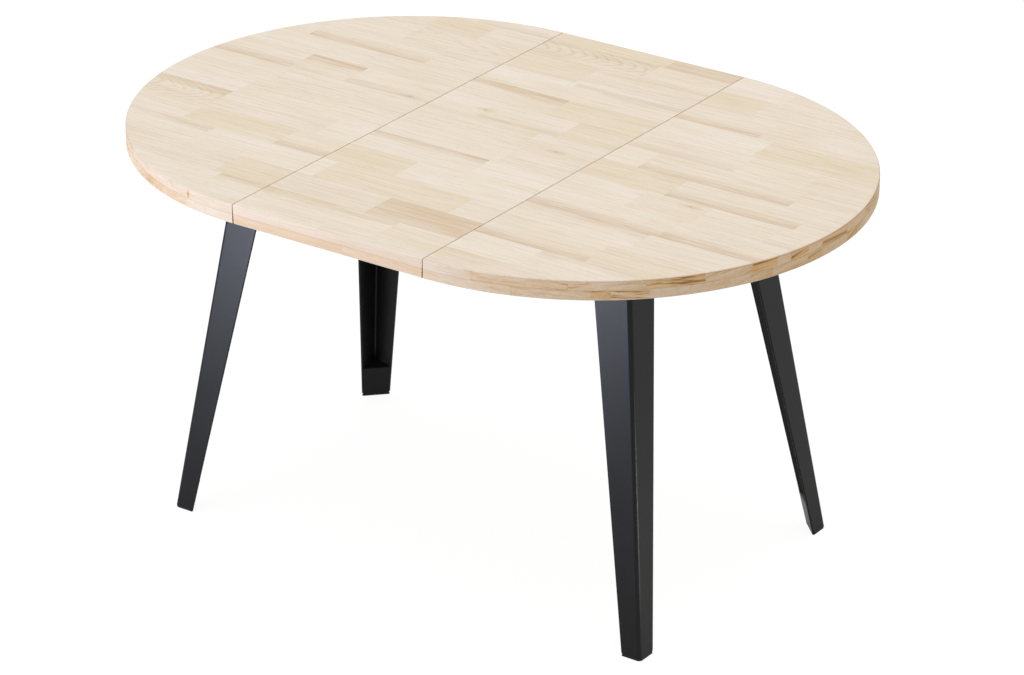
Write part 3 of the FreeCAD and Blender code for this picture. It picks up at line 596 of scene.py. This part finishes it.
def piece(name, mesh, material, slot, body, *nodes):
    """A finished mesh as an object that rides on a body and stands for CAD nodes."""
    if isinstance(mesh, bmesh.types.BMesh):
        bmesh.ops.recalc_face_normals(mesh, faces=mesh.faces)
        data = bpy.data.meshes.new(name)
        mesh.to_mesh(data)
        mesh.free()
        mesh = data
    mesh.name = name
    mesh.materials.clear()
    mesh.materials.append(material)
    thing = bpy.data.objects.new(name, mesh)
    bpy.context.scene.collection.objects.link(thing)
    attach(thing, body)
    if nodes:
        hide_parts(*nodes)
    return thing


def smooth(mesh, degrees=30):
    """Smooth shading that stops at edges sharper than this."""
    mesh.shade_smooth()
    mesh.set_sharp_from_angle(angle=math.radians(degrees))


def arc(count):
    """Turns of a quarter circle."""
    return [math.pi / 2 * i / (count - 1) for i in range(count)]


def rim_profile(wood):
    """How far the edge of the top stands in at each level, from the upper face down."""
    bend = [(wood.edge_round * (1 - math.sin(a)), wood.edge_round * (1 - math.cos(a))) for a in arc(6)]
    upper = [(inset, TOP - drop) for inset, drop in bend]
    lower = [(inset, UNDER + drop) for inset, drop in reversed(bend)]
    return upper + [(0, GLUE_LINE)] + lower


def half_top(side, wood):
    """A half-round top of both layers, its straight side at the seam."""
    bm = bmesh.new()
    rings = []
    for inset, level in rim_profile(wood):
        radius = RADIUS - inset
        sweep = math.acos((SEAM - LEAF_HALF) / radius)
        turns = [sweep * (2 * i / wood.rim_steps - 1) for i in range(wood.rim_steps + 1)]
        ring = [(side * (LEAF_HALF + radius * math.cos(a)), radius * math.sin(a)) for a in turns]
        rings.append([bm.verts.new((x, y, level)) for x, y in ring])
    for a, b in zip(rings, rings[1:]):
        for i in range(wood.rim_steps):
            bm.faces.new((a[i], a[i + 1], b[i + 1], b[i]))
    bm.faces.new(rings[0])
    bm.faces.new(rings[-1])
    bm.faces.new([ring[0] for ring in rings] + [ring[-1] for ring in reversed(rings)])
    return bm


def lofted(rings):
    """A closed skin through rings of as many points each."""
    bm = bmesh.new()
    rows = [[bm.verts.new(p) for p in ring] for ring in rings]
    count = len(rows[0])
    for a, b in zip(rows, rows[1:]):
        for i in range(count):
            j = (i + 1) % count
            bm.faces.new((a[i], a[j], b[j], b[i]))
    bm.faces.new(rows[0])
    bm.faces.new(rows[-1])
    return bm


def leaf_top(wood):
    """The leaf of both layers; its long sides slope in towards the underside."""
    slope = (LEAF_EDGE - LEAF_FOOT) / (TOP - UNDER)
    profile = [(RADIUS - inset, level) for inset, level in rim_profile(wood)]
    loop = profile + [(-y, z) for y, z in reversed(profile)]
    rows = [[(sign * (LEAF_EDGE - (TOP - z) * slope), y, z) for y, z in loop] for sign in (-1, 1)]
    return lofted(rows)


def lower_rows(first, low, high, width, chance):
    """Random staves for the hidden lower layer."""
    rows = []
    looks = ("pale", "plain", "rosy", "honey", "honey", "brown", "brown_near", "brown_far")
    for _ in range(15):
        start = low - chance.uniform(0.0, 0.25)
        row = []
        while start < high:
            row += [start * 1000, chance.choice(looks)]
            start += chance.uniform(0.16, 0.42)
        rows.append(row[1:])
    return first - width * 500, rows


def lay_staves(bm, name, wood, low, high):
    """Cut a top along its staves and note on every face which stave it is of, and how that looks."""
    chance = random.Random(wood.seed + len(name))
    width = wood.stave_width
    upper = STAVES[name]
    lower = lower_rows(upper[0], low, high, width, chance)
    layers = ((GLUE_LINE, TOP, upper, RIM[name][0]), (UNDER, GLUE_LINE, lower, RIM[name][1]))

    def split(faces, point, direction):
        edges = {edge for face in faces for edge in face.edges}
        corners = {corner for face in faces for corner in face.verts}
        bmesh.ops.bisect_plane(
            bm, geom=[*faces, *edges, *corners], plane_co=point, plane_no=direction, dist=1e-7)

    def within(bottom, ceiling, near=-math.inf, far=math.inf):
        found = []
        for face in bm.faces:
            middle = face.calc_center_median()
            if bottom < middle.z < ceiling + HAIR and near < middle.y < far:
                found.append(face)
        return found

    split(bm.faces[:], (0, 0, GLUE_LINE), (0, 0, 1))
    vectors, floats = bm.faces.layers.float_vector, bm.faces.layers.float
    span, look, grain = (vectors.new("stave_" + what) for what in ("span", "look", "grain"))
    lot, rim = floats.new("stave_lot"), floats.new("stave_rim")
    for bottom, ceiling, (first, rows), browning in layers:
        bottom -= HAIR if bottom == UNDER else 0
        for i, row in enumerate(rows):
            far = first / 1000 - i * width
            near = far - width
            if far < -RADIUS or near > RADIUS:
                continue
            joints = [joint / 1000 for joint in row[1::2]]
            for side in (far, near):
                split(within(bottom, ceiling), (0, side, 0), (0, 1, 0))
            for joint in joints:
                split(within(bottom, ceiling, near, far), (joint, 0, 0), (1, 0, 0))
            staves = []
            for kind, left, right in zip(row[::2], [low - 0.01] + joints, joints + [high + 0.01]):
                tone, edge, honey = LOOKS[kind]
                arched = FIGURE.get(kind, 0)
                aside = 0.004 if arched else chance.choice((-1, 1)) * chance.uniform(0.02, 0.2)
                depth = ceiling - (0.03 if arched else chance.uniform(0.03, 0.14))
                climb = arched or chance.uniform(-0.03, 0.03)
                looks = (max(0.0, tone + chance.uniform(-0.05, 0.07)), edge, honey)
                rings = ((near + far) / 2 + aside, depth, climb)
                staves.append((left, right, looks, rings, chance.random()))
            for face in within(bottom, ceiling, near, far):
                middle = face.calc_center_median()
                # the faces that the pieces turn to each other are browned hard: painted shade of the
                # seams' gap
                if abs(face.normal.x) > 0.95 and abs(middle.x) < SEAM + 0.01:
                    face[rim] = SEAM_PAINTED_SHADE
                elif abs(face.normal.z) < 0.4:
                    face[rim] = [brown for start, brown in browning if start <= middle.y * 1000 + 1][-1]
                for left, right, looks, rings, number in staves:
                    if left <= middle.x <= right:
                        face[span] = (left, right, near)
                        face[look] = looks
                        face[grain] = rings
                        face[lot] = number
    for edge in bm.edges:
        if len(edge.link_faces) == 2:
            edge.smooth = edge.calc_face_angle(0) < math.radians(40)
    for face in bm.faces:
        face.smooth = abs(face.normal.z) < 0.999


class TABLE_OT_stage(bpy.types.Operator):
    """Set the floor, the light and the camera"""

    bl_idname = "table.stage"
    bl_label = "Studio"

    def execute(self, context):
        scene, stage = context.scene, context.scene.table_stage
        scene.view_settings.view_transform = "Standard"

        bm = bmesh.new()
        ground = Matrix.Translation((0, 0, FLOOR))
        bmesh.ops.create_grid(bm, x_segments=1, y_segments=1, size=FLOOR_HALF, matrix=ground)
        mesh = bpy.data.meshes.new("studio_floor")
        bm.to_mesh(mesh)
        bm.free()
        mesh.materials.append(white_paper(stage))
        floor = bpy.data.objects.new("studio_floor", mesh)
        scene.collection.objects.link(floor)

        scene.world = studio_room(stage)
        for name, (tint, spread, width, height, spot, aim) in LAMPS.items():
            lamp = bpy.data.lights.new("soft_" + name, "AREA")
            lamp.shape = "RECTANGLE"
            lamp.size, lamp.size_y = width, height
            lamp.energy = getattr(stage, name + "_power")
            lamp.color = linear(tint)
            lamp.spread = math.radians(spread)
            light = bpy.data.objects.new("soft_" + name, lamp)
            scene.collection.objects.link(light)
            turned = (Vector(spot) - Vector(aim)).to_track_quat("Z", "Y").to_matrix().to_4x4()
            light.matrix_world = Matrix.Translation(spot) @ turned

        lens = bpy.data.cameras.new("photo_camera")
        lens.sensor_width = CAMERA_SENSOR
        lens.lens = CAMERA_LENS
        camera = bpy.data.objects.new("photo_camera", lens)
        scene.collection.objects.link(camera)
        camera.matrix_world = photo_place()
        scene.camera = camera
        return {"FINISHED"}


class TABLE_OT_top(bpy.types.Operator):
    """Make the two half-round tops and the leaf, stave by stave"""

    bl_idname = "table.top"
    bl_label = "Top"

    def execute(self, context):
        wood = context.scene.table_wood
        material = rubberwood(wood)
        for name, body, bm, low, high in (
            ("left", "left_half", half_top(-1, wood), -LEAF_HALF - RADIUS, -SEAM),
            ("leaf", "leaf", leaf_top(wood), -LEAF_EDGE, LEAF_EDGE),
            ("right", "right_half", half_top(1, wood), SEAM, LEAF_HALF + RADIUS),
        ):
            bmesh.ops.recalc_face_normals(bm, faces=bm.faces)
            lay_staves(bm, name, wood, low, high)
            boards = f"{name}_upper_board", f"{name}_lower_board"
            piece(f"{name}_top", bm, material, "rubberwood", body, *boards)
        return {"FINISHED"}


def flange_at(height, metal):
    """How wide a leg's sides are at a height above its foot."""
    return metal.flange_foot + height / LEG_RISE * (metal.flange_top - metal.flange_foot)


def on_leg(side, end, height, section):
    """Points of a leg at a height above its foot, each so far in from the leg's outer corner."""
    share = height / LEG_RISE
    x, y = LEG_CORNER.x - share * LEG_LEAN.x, LEG_CORNER.y - share * LEG_LEAN.y
    return [(side * (x - u), end * (y - v), FOOT + height) for u, v in section]


def leg_rings(side, end, metal):
    """The sections of a leg from foot to head: bent sheet that tapers and leans in."""
    sheet, bend, ease = metal.sheet, metal.bend, metal.arris
    hollow = bend - sheet
    rings = []
    for height in (0, 0.0004, 0.0011, 0.0022, 0.0035, metal.foot_round, LEG_RISE):
        flange = flange_at(height, metal)
        if height < metal.foot_round:
            left = metal.foot_round - height
            flange -= metal.foot_round - math.sqrt(metal.foot_round ** 2 - left ** 2)
        outer = [(bend - bend * math.sin(a), bend - bend * math.cos(a)) for a in arc(9)]
        inner = [(bend - hollow * math.cos(a), bend - hollow * math.sin(a)) for a in arc(7)]
        # a strip beside each end of the bend keeps the flat sides' shading flat
        outline = [(flange, ease), (flange - ease, 0), (bend + ease, 0)] + outer + [(0, bend + ease)]
        outline += [(0, flange - ease), (ease, flange), (sheet - ease, flange), (sheet, flange - ease)]
        outline += [(sheet, bend + ease)] + inner + [(bend + ease, sheet)]
        outline += [(flange - ease, sheet), (flange, sheet - ease)]
        rings.append(on_leg(side, end, height, outline))
    return rings


def eased(name, width):
    """A copy of a CAD node, its loose triangles merged into faces and its edges broken."""
    bm = bmesh.new()
    bm.from_mesh(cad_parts[name].data)
    bmesh.ops.remove_doubles(bm, verts=bm.verts, dist=1e-6)
    bmesh.ops.dissolve_limit(bm, angle_limit=math.radians(2), verts=bm.verts, edges=bm.edges)
    curved = math.radians(25)
    sharp = [e for e in bm.edges if len(e.link_faces) == 2 and e.calc_face_angle(0) > curved]
    made = bmesh.ops.bevel(
        bm, geom=sharp, offset=width, segments=2, profile=0.5, affect="EDGES", clamp_overlap=True)
    broken = set(made["faces"])
    bm.normal_update()
    for face in bm.faces:
        beside = [f for e in face.edges for f in e.link_faces if f is not face and f not in broken]
        face.smooth = face in broken or any(face.normal.angle(f.normal, 0) < curved for f in beside)
    return bm


def new_tree(name, sizes):
    """An empty geometry tree with named inputs for its sizes, what adds a node to it, and its
    outputs of those sizes."""
    tree = bpy.data.node_groups.new(name, "GeometryNodeTree")
    tree.is_modifier = True
    tree.interface.new_socket(name="Geometry", in_out="INPUT", socket_type="NodeSocketGeometry")
    tree.interface.new_socket(name="Geometry", in_out="OUTPUT", socket_type="NodeSocketGeometry")
    for size in sizes:
        kind = "NodeSocketInt" if size == "Seed" else "NodeSocketFloat"
        tree.interface.new_socket(name=size, in_out="INPUT", socket_type=kind)
    add = partial(node, tree)
    return tree, add, add("NodeGroupInput").outputs


def repeated(add, points, shape, turn, scale, material):
    """End a tree: a copy of a shape at every point, made real and given its finish."""
    copies = add("GeometryNodeInstanceOnPoints", {
        "Points": points, "Instance": shape, "Rotation": turn, "Scale": scale})
    real = add("GeometryNodeRealizeInstances", [copies])
    done = add("GeometryNodeSetMaterial", {"Geometry": real, "Material": material})
    add("NodeGroupOutput", [done])


def grown(tree, sizes, points, edges=()):
    """The plain mesh that a geometry tree makes from points or from paths."""
    mesh = bpy.data.meshes.new("points")
    mesh.from_pydata(points, edges, [])
    thing = bpy.data.objects.new("points", mesh)
    bpy.context.scene.collection.objects.link(thing)
    modifier = thing.modifiers.new("grown", "NODES")
    modifier.node_group = tree
    for item in tree.interface.items_tree:
        if item.in_out == "INPUT" and item.name in sizes:
            modifier[item.identifier] = sizes[item.name]
    made = bpy.data.meshes.new_from_object(thing.evaluated_get(bpy.context.evaluated_depsgraph_get()))
    bpy.data.objects.remove(thing)
    if not made.polygons:
        raise RuntimeError(f"{tree.name} made nothing")
    return made


SCREW_SIZES = (
    "Head radius", "Head height", "Shoulder radius", "Shoulder", "Thread radius", "Length", "Pitch",
    "Seed",
)


def screw_tree(material):
    """Screws that point up from each point: a domed head with a cross recess, then a smooth
    shoulder if they have one, then a thread with a point."""
    tree, add, given = new_tree("screws", SCREW_SIZES)
    radius, height, shoulder = given["Head radius"], given["Head height"], given["Shoulder"]
    length, pitch = given["Length"], given["Pitch"]
    position = add("GeometryNodeInputPosition")
    x, y, z = add("ShaderNodeSeparateXYZ", [position]).outputs

    def shaped(shape, factor):
        """Draw a shape in towards Z by a factor that its position gives."""
        drawn = add("ShaderNodeCombineXYZ", [factor, factor, 1.0])
        moved = add(VECTOR, [position, drawn], operation="MULTIPLY")
        return add("GeometryNodeSetPosition", {"Geometry": shape, "Position": moved})

    def raised(shape, size, share, less=0.0):
        """Move a shape up by a share of a size, less another."""
        level = add(MATH, [size, share], operation="MULTIPLY")
        level = add(MATH, [level, less], operation="SUBTRACT")
        up = add("ShaderNodeCombineXYZ", [0.0, 0.0, level])
        return add("GeometryNodeTransform", {"Geometry": shape, "Translation": up})

    # the head: a cylinder drawn in to a dome at its lower end, cut crosswise to half its height
    half = add(MATH, [height, 0.5], operation="MULTIPLY")
    low = add(MATH, [half, -1.0], operation="MULTIPLY")
    out = add(RANGE, [z, half, low, 0.0, 1.0])
    dome = add(MATH, [out, 3.0], operation="POWER")
    dome = add(MATH, [dome, -CROWN, 1.0], operation="MULTIPLY_ADD")
    head = add(CYLINDER, {"Vertices": 28, "Side Segments": 5, "Radius": radius, "Depth": height})
    head = shaped(head, dome)
    long, slim = (add(MATH, [radius, share], operation="MULTIPLY") for share in RECESS)
    for wide, deep in ((long, slim), (slim, long)):
        bar = add("ShaderNodeCombineXYZ", [wide, deep, height])
        bar = raised(add("GeometryNodeMeshCube", {"Size": bar}), half, -1.0)
        head = add("GeometryNodeMeshBoolean", {"Mesh 1": head, "Mesh 2": bar}, operation="DIFFERENCE")
    head = raised(head, shoulder, -1.0, half)

    collar = add(CYLINDER, {
        "Vertices": 32, "Side Segments": 1, "Radius": given["Shoulder radius"], "Depth": shoulder})
    collar = raised(collar, shoulder, -0.5)
    stepped = add(MATH, [shoulder, 0.0], operation="GREATER_THAN")
    collar = add("GeometryNodeSwitch", {"Switch": stepped, "True": collar}, input_type="GEOMETRY")

    # four steps to each turn of the thread, whose ridge follows the angle round Z
    turns = add(MATH, [length, pitch], operation="DIVIDE")
    steps = add(MATH, [turns, 4.0], operation="MULTIPLY")
    rod = add(CYLINDER, {
        "Vertices": 10, "Side Segments": steps, "Radius": given["Thread radius"], "Depth": length})
    rod = raised(rod, length, 0.5)
    angle = add(MATH, [y, x], operation="ARCTAN2")
    angle = add(MATH, [angle, 1 / math.tau], operation="MULTIPLY")
    ridge = add(MATH, [z, pitch], operation="DIVIDE")
    ridge = add(MATH, [ridge, angle], operation="SUBTRACT")
    ridge = add(MATH, [ridge, 0.5], operation="PINGPONG")
    thread = add(MATH, [ridge, 2 * THREAD_DEPTH, 1 - THREAD_DEPTH], operation="MULTIPLY_ADD")
    tip = add(MATH, [length, TIP], operation="SUBTRACT")
    tip = add(RANGE, [z, tip, length, 1.0, TIP_END])
    rod = shaped(rod, add(MATH, [thread, tip], operation="MULTIPLY"))

    whole = add("GeometryNodeJoinGeometry")
    for part in (rod, collar, head):
        tree.links.new(part.outputs[0], whole.inputs[0])
    turn = add("FunctionNodeRandomValue", {"Max": math.tau, "Seed": given["Seed"]}, data_type="FLOAT")
    turn = add("ShaderNodeCombineXYZ", [0.0, 0.0, turn])
    repeated(add, given["Geometry"], whole, turn, (1.0, 1.0, 1.0), material)
    return tree


def weld_tree(material):
    """A weld bead along each path: flattened drops, one over the next."""
    tree, add, given = new_tree("weld_beads", ("Bead", "Ripple", "Seed"))
    path = add("GeometryNodeMeshToCurve", [given["Geometry"]])
    drops = add("GeometryNodeCurveToPoints", {"Curve": path, "Length": given["Ripple"]}, mode="LENGTH")
    turn = add("FunctionNodeAlignRotationToVector", {"Vector": drops.outputs["Tangent"]}, axis="Z")
    drop = add("GeometryNodeMeshIcoSphere", {"Radius": given["Bead"], "Subdivisions": 2})
    uneven = add("FunctionNodeRandomValue", {
        "Min": (0.9, 0.9, 0.6), "Max": (1.1, 1.1, 0.8), "Seed": given["Seed"]}, data_type="FLOAT_VECTOR")
    repeated(add, drops.outputs["Points"], drop, turn, uneven, material)
    return tree


def spots(name):
    """The middle of each screw of a CAD group."""
    groups = []
    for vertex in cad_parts[name].data.vertices:
        for group in groups:
            if (group[0] - vertex.co).xy.length < 0.02:
                group.append(vertex.co)
                break
        else:
            groups.append([vertex.co])
    middles = []
    for group in groups:
        xs, ys = [c.x for c in group], [c.y for c in group]
        middles.append(((min(xs) + max(xs)) / 2, (min(ys) + max(ys)) / 2))
    return middles


class TABLE_OT_legs(bpy.types.Operator):
    """Make the four legs with the plates that close their feet and those they hang from"""

    bl_idname = "table.legs"
    bl_label = "Legs"

    def execute(self, context):
        metal = context.scene.table_metal
        material = powder_coat(metal)
        pads = []
        for name, side in SIDES:
            for where, end in ENDS:
                place, body = f"{name}_{where}", f"{name}_half"
                leg = place + "_leg"
                skin = lofted(leg_rings(side, end, metal))
                smooth(piece(leg + "_sheet", skin, material, "black_steel", body, leg).data)
                for plate in (place + "_foot_plate", leg + "_plate"):
                    shape = eased(plate, metal.arris)
                    piece(plate + "_eased", shape, material, "black_steel", body, plate)
                pads.append(place + "_glide")
        finish(moulded("polypropylene_moulded_black", metal.glide, 1.49, 0.45, 0.6), *pads)
        return {"FINISHED"}


class TABLE_OT_welds(bpy.types.Operator):
    """Lay the weld beads inside the legs, at their heads and at the corners of the foot plates"""

    bl_idname = "table.welds"
    bl_label = "Welds"

    def execute(self, context):
        metal = context.scene.table_metal
        material = bpy.data.materials["black_powder_coat"]
        tree = weld_tree(material)
        bend, hollow = metal.bend, metal.bend - metal.sheet
        inner = [(bend - hollow * math.cos(a), bend - hollow * math.sin(a)) for a in arc(4)]
        reach = metal.flange_top - HEAD_INSET
        seam = [(metal.sheet, reach)] + inner + [(reach, metal.sheet)]
        for name, side in SIDES:
            points, edges = [], []
            for _, end in ENDS:
                paths = [on_leg(side, end, LEG_RISE, seam)]
                for far, wall in ((0, 1), (1, 0)):
                    corner = []
                    for drop in CORNER_BEAD:
                        height = metal.foot_plate - drop
                        spot = (flange_at(height, metal) - CORNER_INSET, metal.sheet)
                        corner += on_leg(side, end, height, [(spot[far], spot[wall])])
                    paths.append(corner)
                for path in paths:
                    start = len(points)
                    points += path
                    edges += [(start + i, start + i + 1) for i in range(len(path) - 1)]
            mesh = grown(tree, {"Bead": metal.bead, "Ripple": metal.bead, "Seed": 3}, points, edges)
            smooth(mesh, 60)
            piece(f"{name}_weld_beads", mesh, material, "black_steel", f"{name}_half")
        return {"FINISHED"}


class TABLE_OT_slides(bpy.types.Operator):
    """Make the beech rails, bars and ties of the slides"""

    bl_idname = "table.slides"
    bl_label = "Slides"

    def execute(self, context):
        material = beech(context.scene.table_wood)
        parts = {"centre_frame": ("front_rail", "back_rail", "left_tie", "right_tie")}
        for name, _ in SIDES:
            parts[f"{name}_half"] = (f"{name}_front_bar", f"{name}_back_bar")
        for body, names in parts.items():
            for name in names:
                bm = eased(name, BEECH_ARRIS)
                # planed a hair below the boards, so that they slide past the other half's underside
                for vertex in bm.verts:
                    if vertex.co.z > UNDER - HAIR:
                        vertex.co.z -= PLANED_OFF
                piece(name + "_planed", bm, material, "beech", body, name)
        return {"FINISHED"}


class TABLE_OT_gears(bpy.types.Operator):
    """Finish the nylon racks and pinions and the pins that the pinions turn on"""

    bl_idname = "table.gears"
    bl_label = "Racks and pinions"

    def execute(self, context):
        metal = context.scene.table_metal
        names = ["front_pinion", "back_pinion"]
        names += [f"{name}_{where}_rack" for name, _ in SIDES for where, _ in ENDS]
        finish(moulded("nylon_moulded", metal.nylon, 1.53, 0.35, 0.5), *names)
        finish(zinc_plate(metal), "pinion_pins")
        return {"FINISHED"}


class TABLE_OT_fasteners(bpy.types.Operator):
    """Make the screws, and the hooks that latch the pieces of the top"""

    bl_idname = "table.fasteners"
    bl_label = "Screws and hooks"

    def execute(self, context):
        metal = context.scene.table_metal
        material = bpy.data.materials["zinc_plated_steel"]
        tree = screw_tree(material)
        shared = {
            "Head radius": metal.head, "Head height": metal.head_height, "Shoulder radius": metal.thread,
            "Shoulder": 0.0, "Thread radius": metal.thread, "Pitch": metal.pitch}
        groups = [("tie_screws", "centre_frame", {}), ("leaf_latch_screws", "leaf", LATCH_SCREW)]
        for name, _ in SIDES:
            for kind, own in (("leg", {}), ("bar", {}), ("latch", LATCH_SCREW)):
                groups.append((f"{name}_{kind}_screws", f"{name}_half", own))
        for number, (name, body, own) in enumerate(groups):
            low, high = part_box(name)
            sizes = shared | own | {"Seed": number}
            level = low.z + sizes["Head height"] + sizes["Shoulder"]
            sizes["Length"] = high.z - level
            mesh = grown(tree, sizes, [(x, y, level) for x, y in spots(name)])
            smooth(mesh, 35)
            piece(name + "_threaded", mesh, material, "zinc_steel", body, name)
        for name in ("left_hook", "leaf_hook"):
            piece(name + "_pressed", eased(name, HOOK_ARRIS), material, "zinc_steel", name, name)
        return {"FINISHED"}


class TABLE_PT_panel(bpy.types.Panel):
    """The table's steps and sizes"""

    bl_idname = "TABLE_PT_panel"
    bl_label = "Extending dining table"
    bl_space_type = "VIEW_3D"
    bl_region_type = "UI"
    bl_category = "Table"

    def draw(self, context):
        for step in STEPS:
            self.layout.operator(step.bl_idname)
        for group in GROUPS:
            settings = getattr(context.scene, group)
            column = self.layout.column()
            for name in settings.bl_rna.properties.keys():
                if name not in ("rna_type", "name"):
                    column.prop(settings, name)


STEPS = (
    TABLE_OT_stage, TABLE_OT_top, TABLE_OT_legs, TABLE_OT_welds, TABLE_OT_slides, TABLE_OT_gears,
    TABLE_OT_fasteners,
)
GROUPS = {"table_wood": TableWood, "table_metal": TableMetal, "table_stage": TableStage}


def register():
    for group in (*GROUPS.values(), *STEPS, TABLE_PT_panel):
        bpy.utils.register_class(group)
    for name, group in GROUPS.items():
        setattr(bpy.types.Scene, name, PointerProperty(type=group))


def unregister():
    for name in GROUPS:
        delattr(bpy.types.Scene, name)
    for group in reversed((*GROUPS.values(), *STEPS, TABLE_PT_panel)):
        bpy.utils.unregister_class(group)


def main():
    register()
    bpy.ops.table.stage()
    bpy.ops.table.top()
    bpy.ops.table.legs()
    bpy.ops.table.welds()
    bpy.ops.table.slides()
    bpy.ops.table.gears()
    bpy.ops.table.fasteners()


if __name__ == "__main__":
    main()
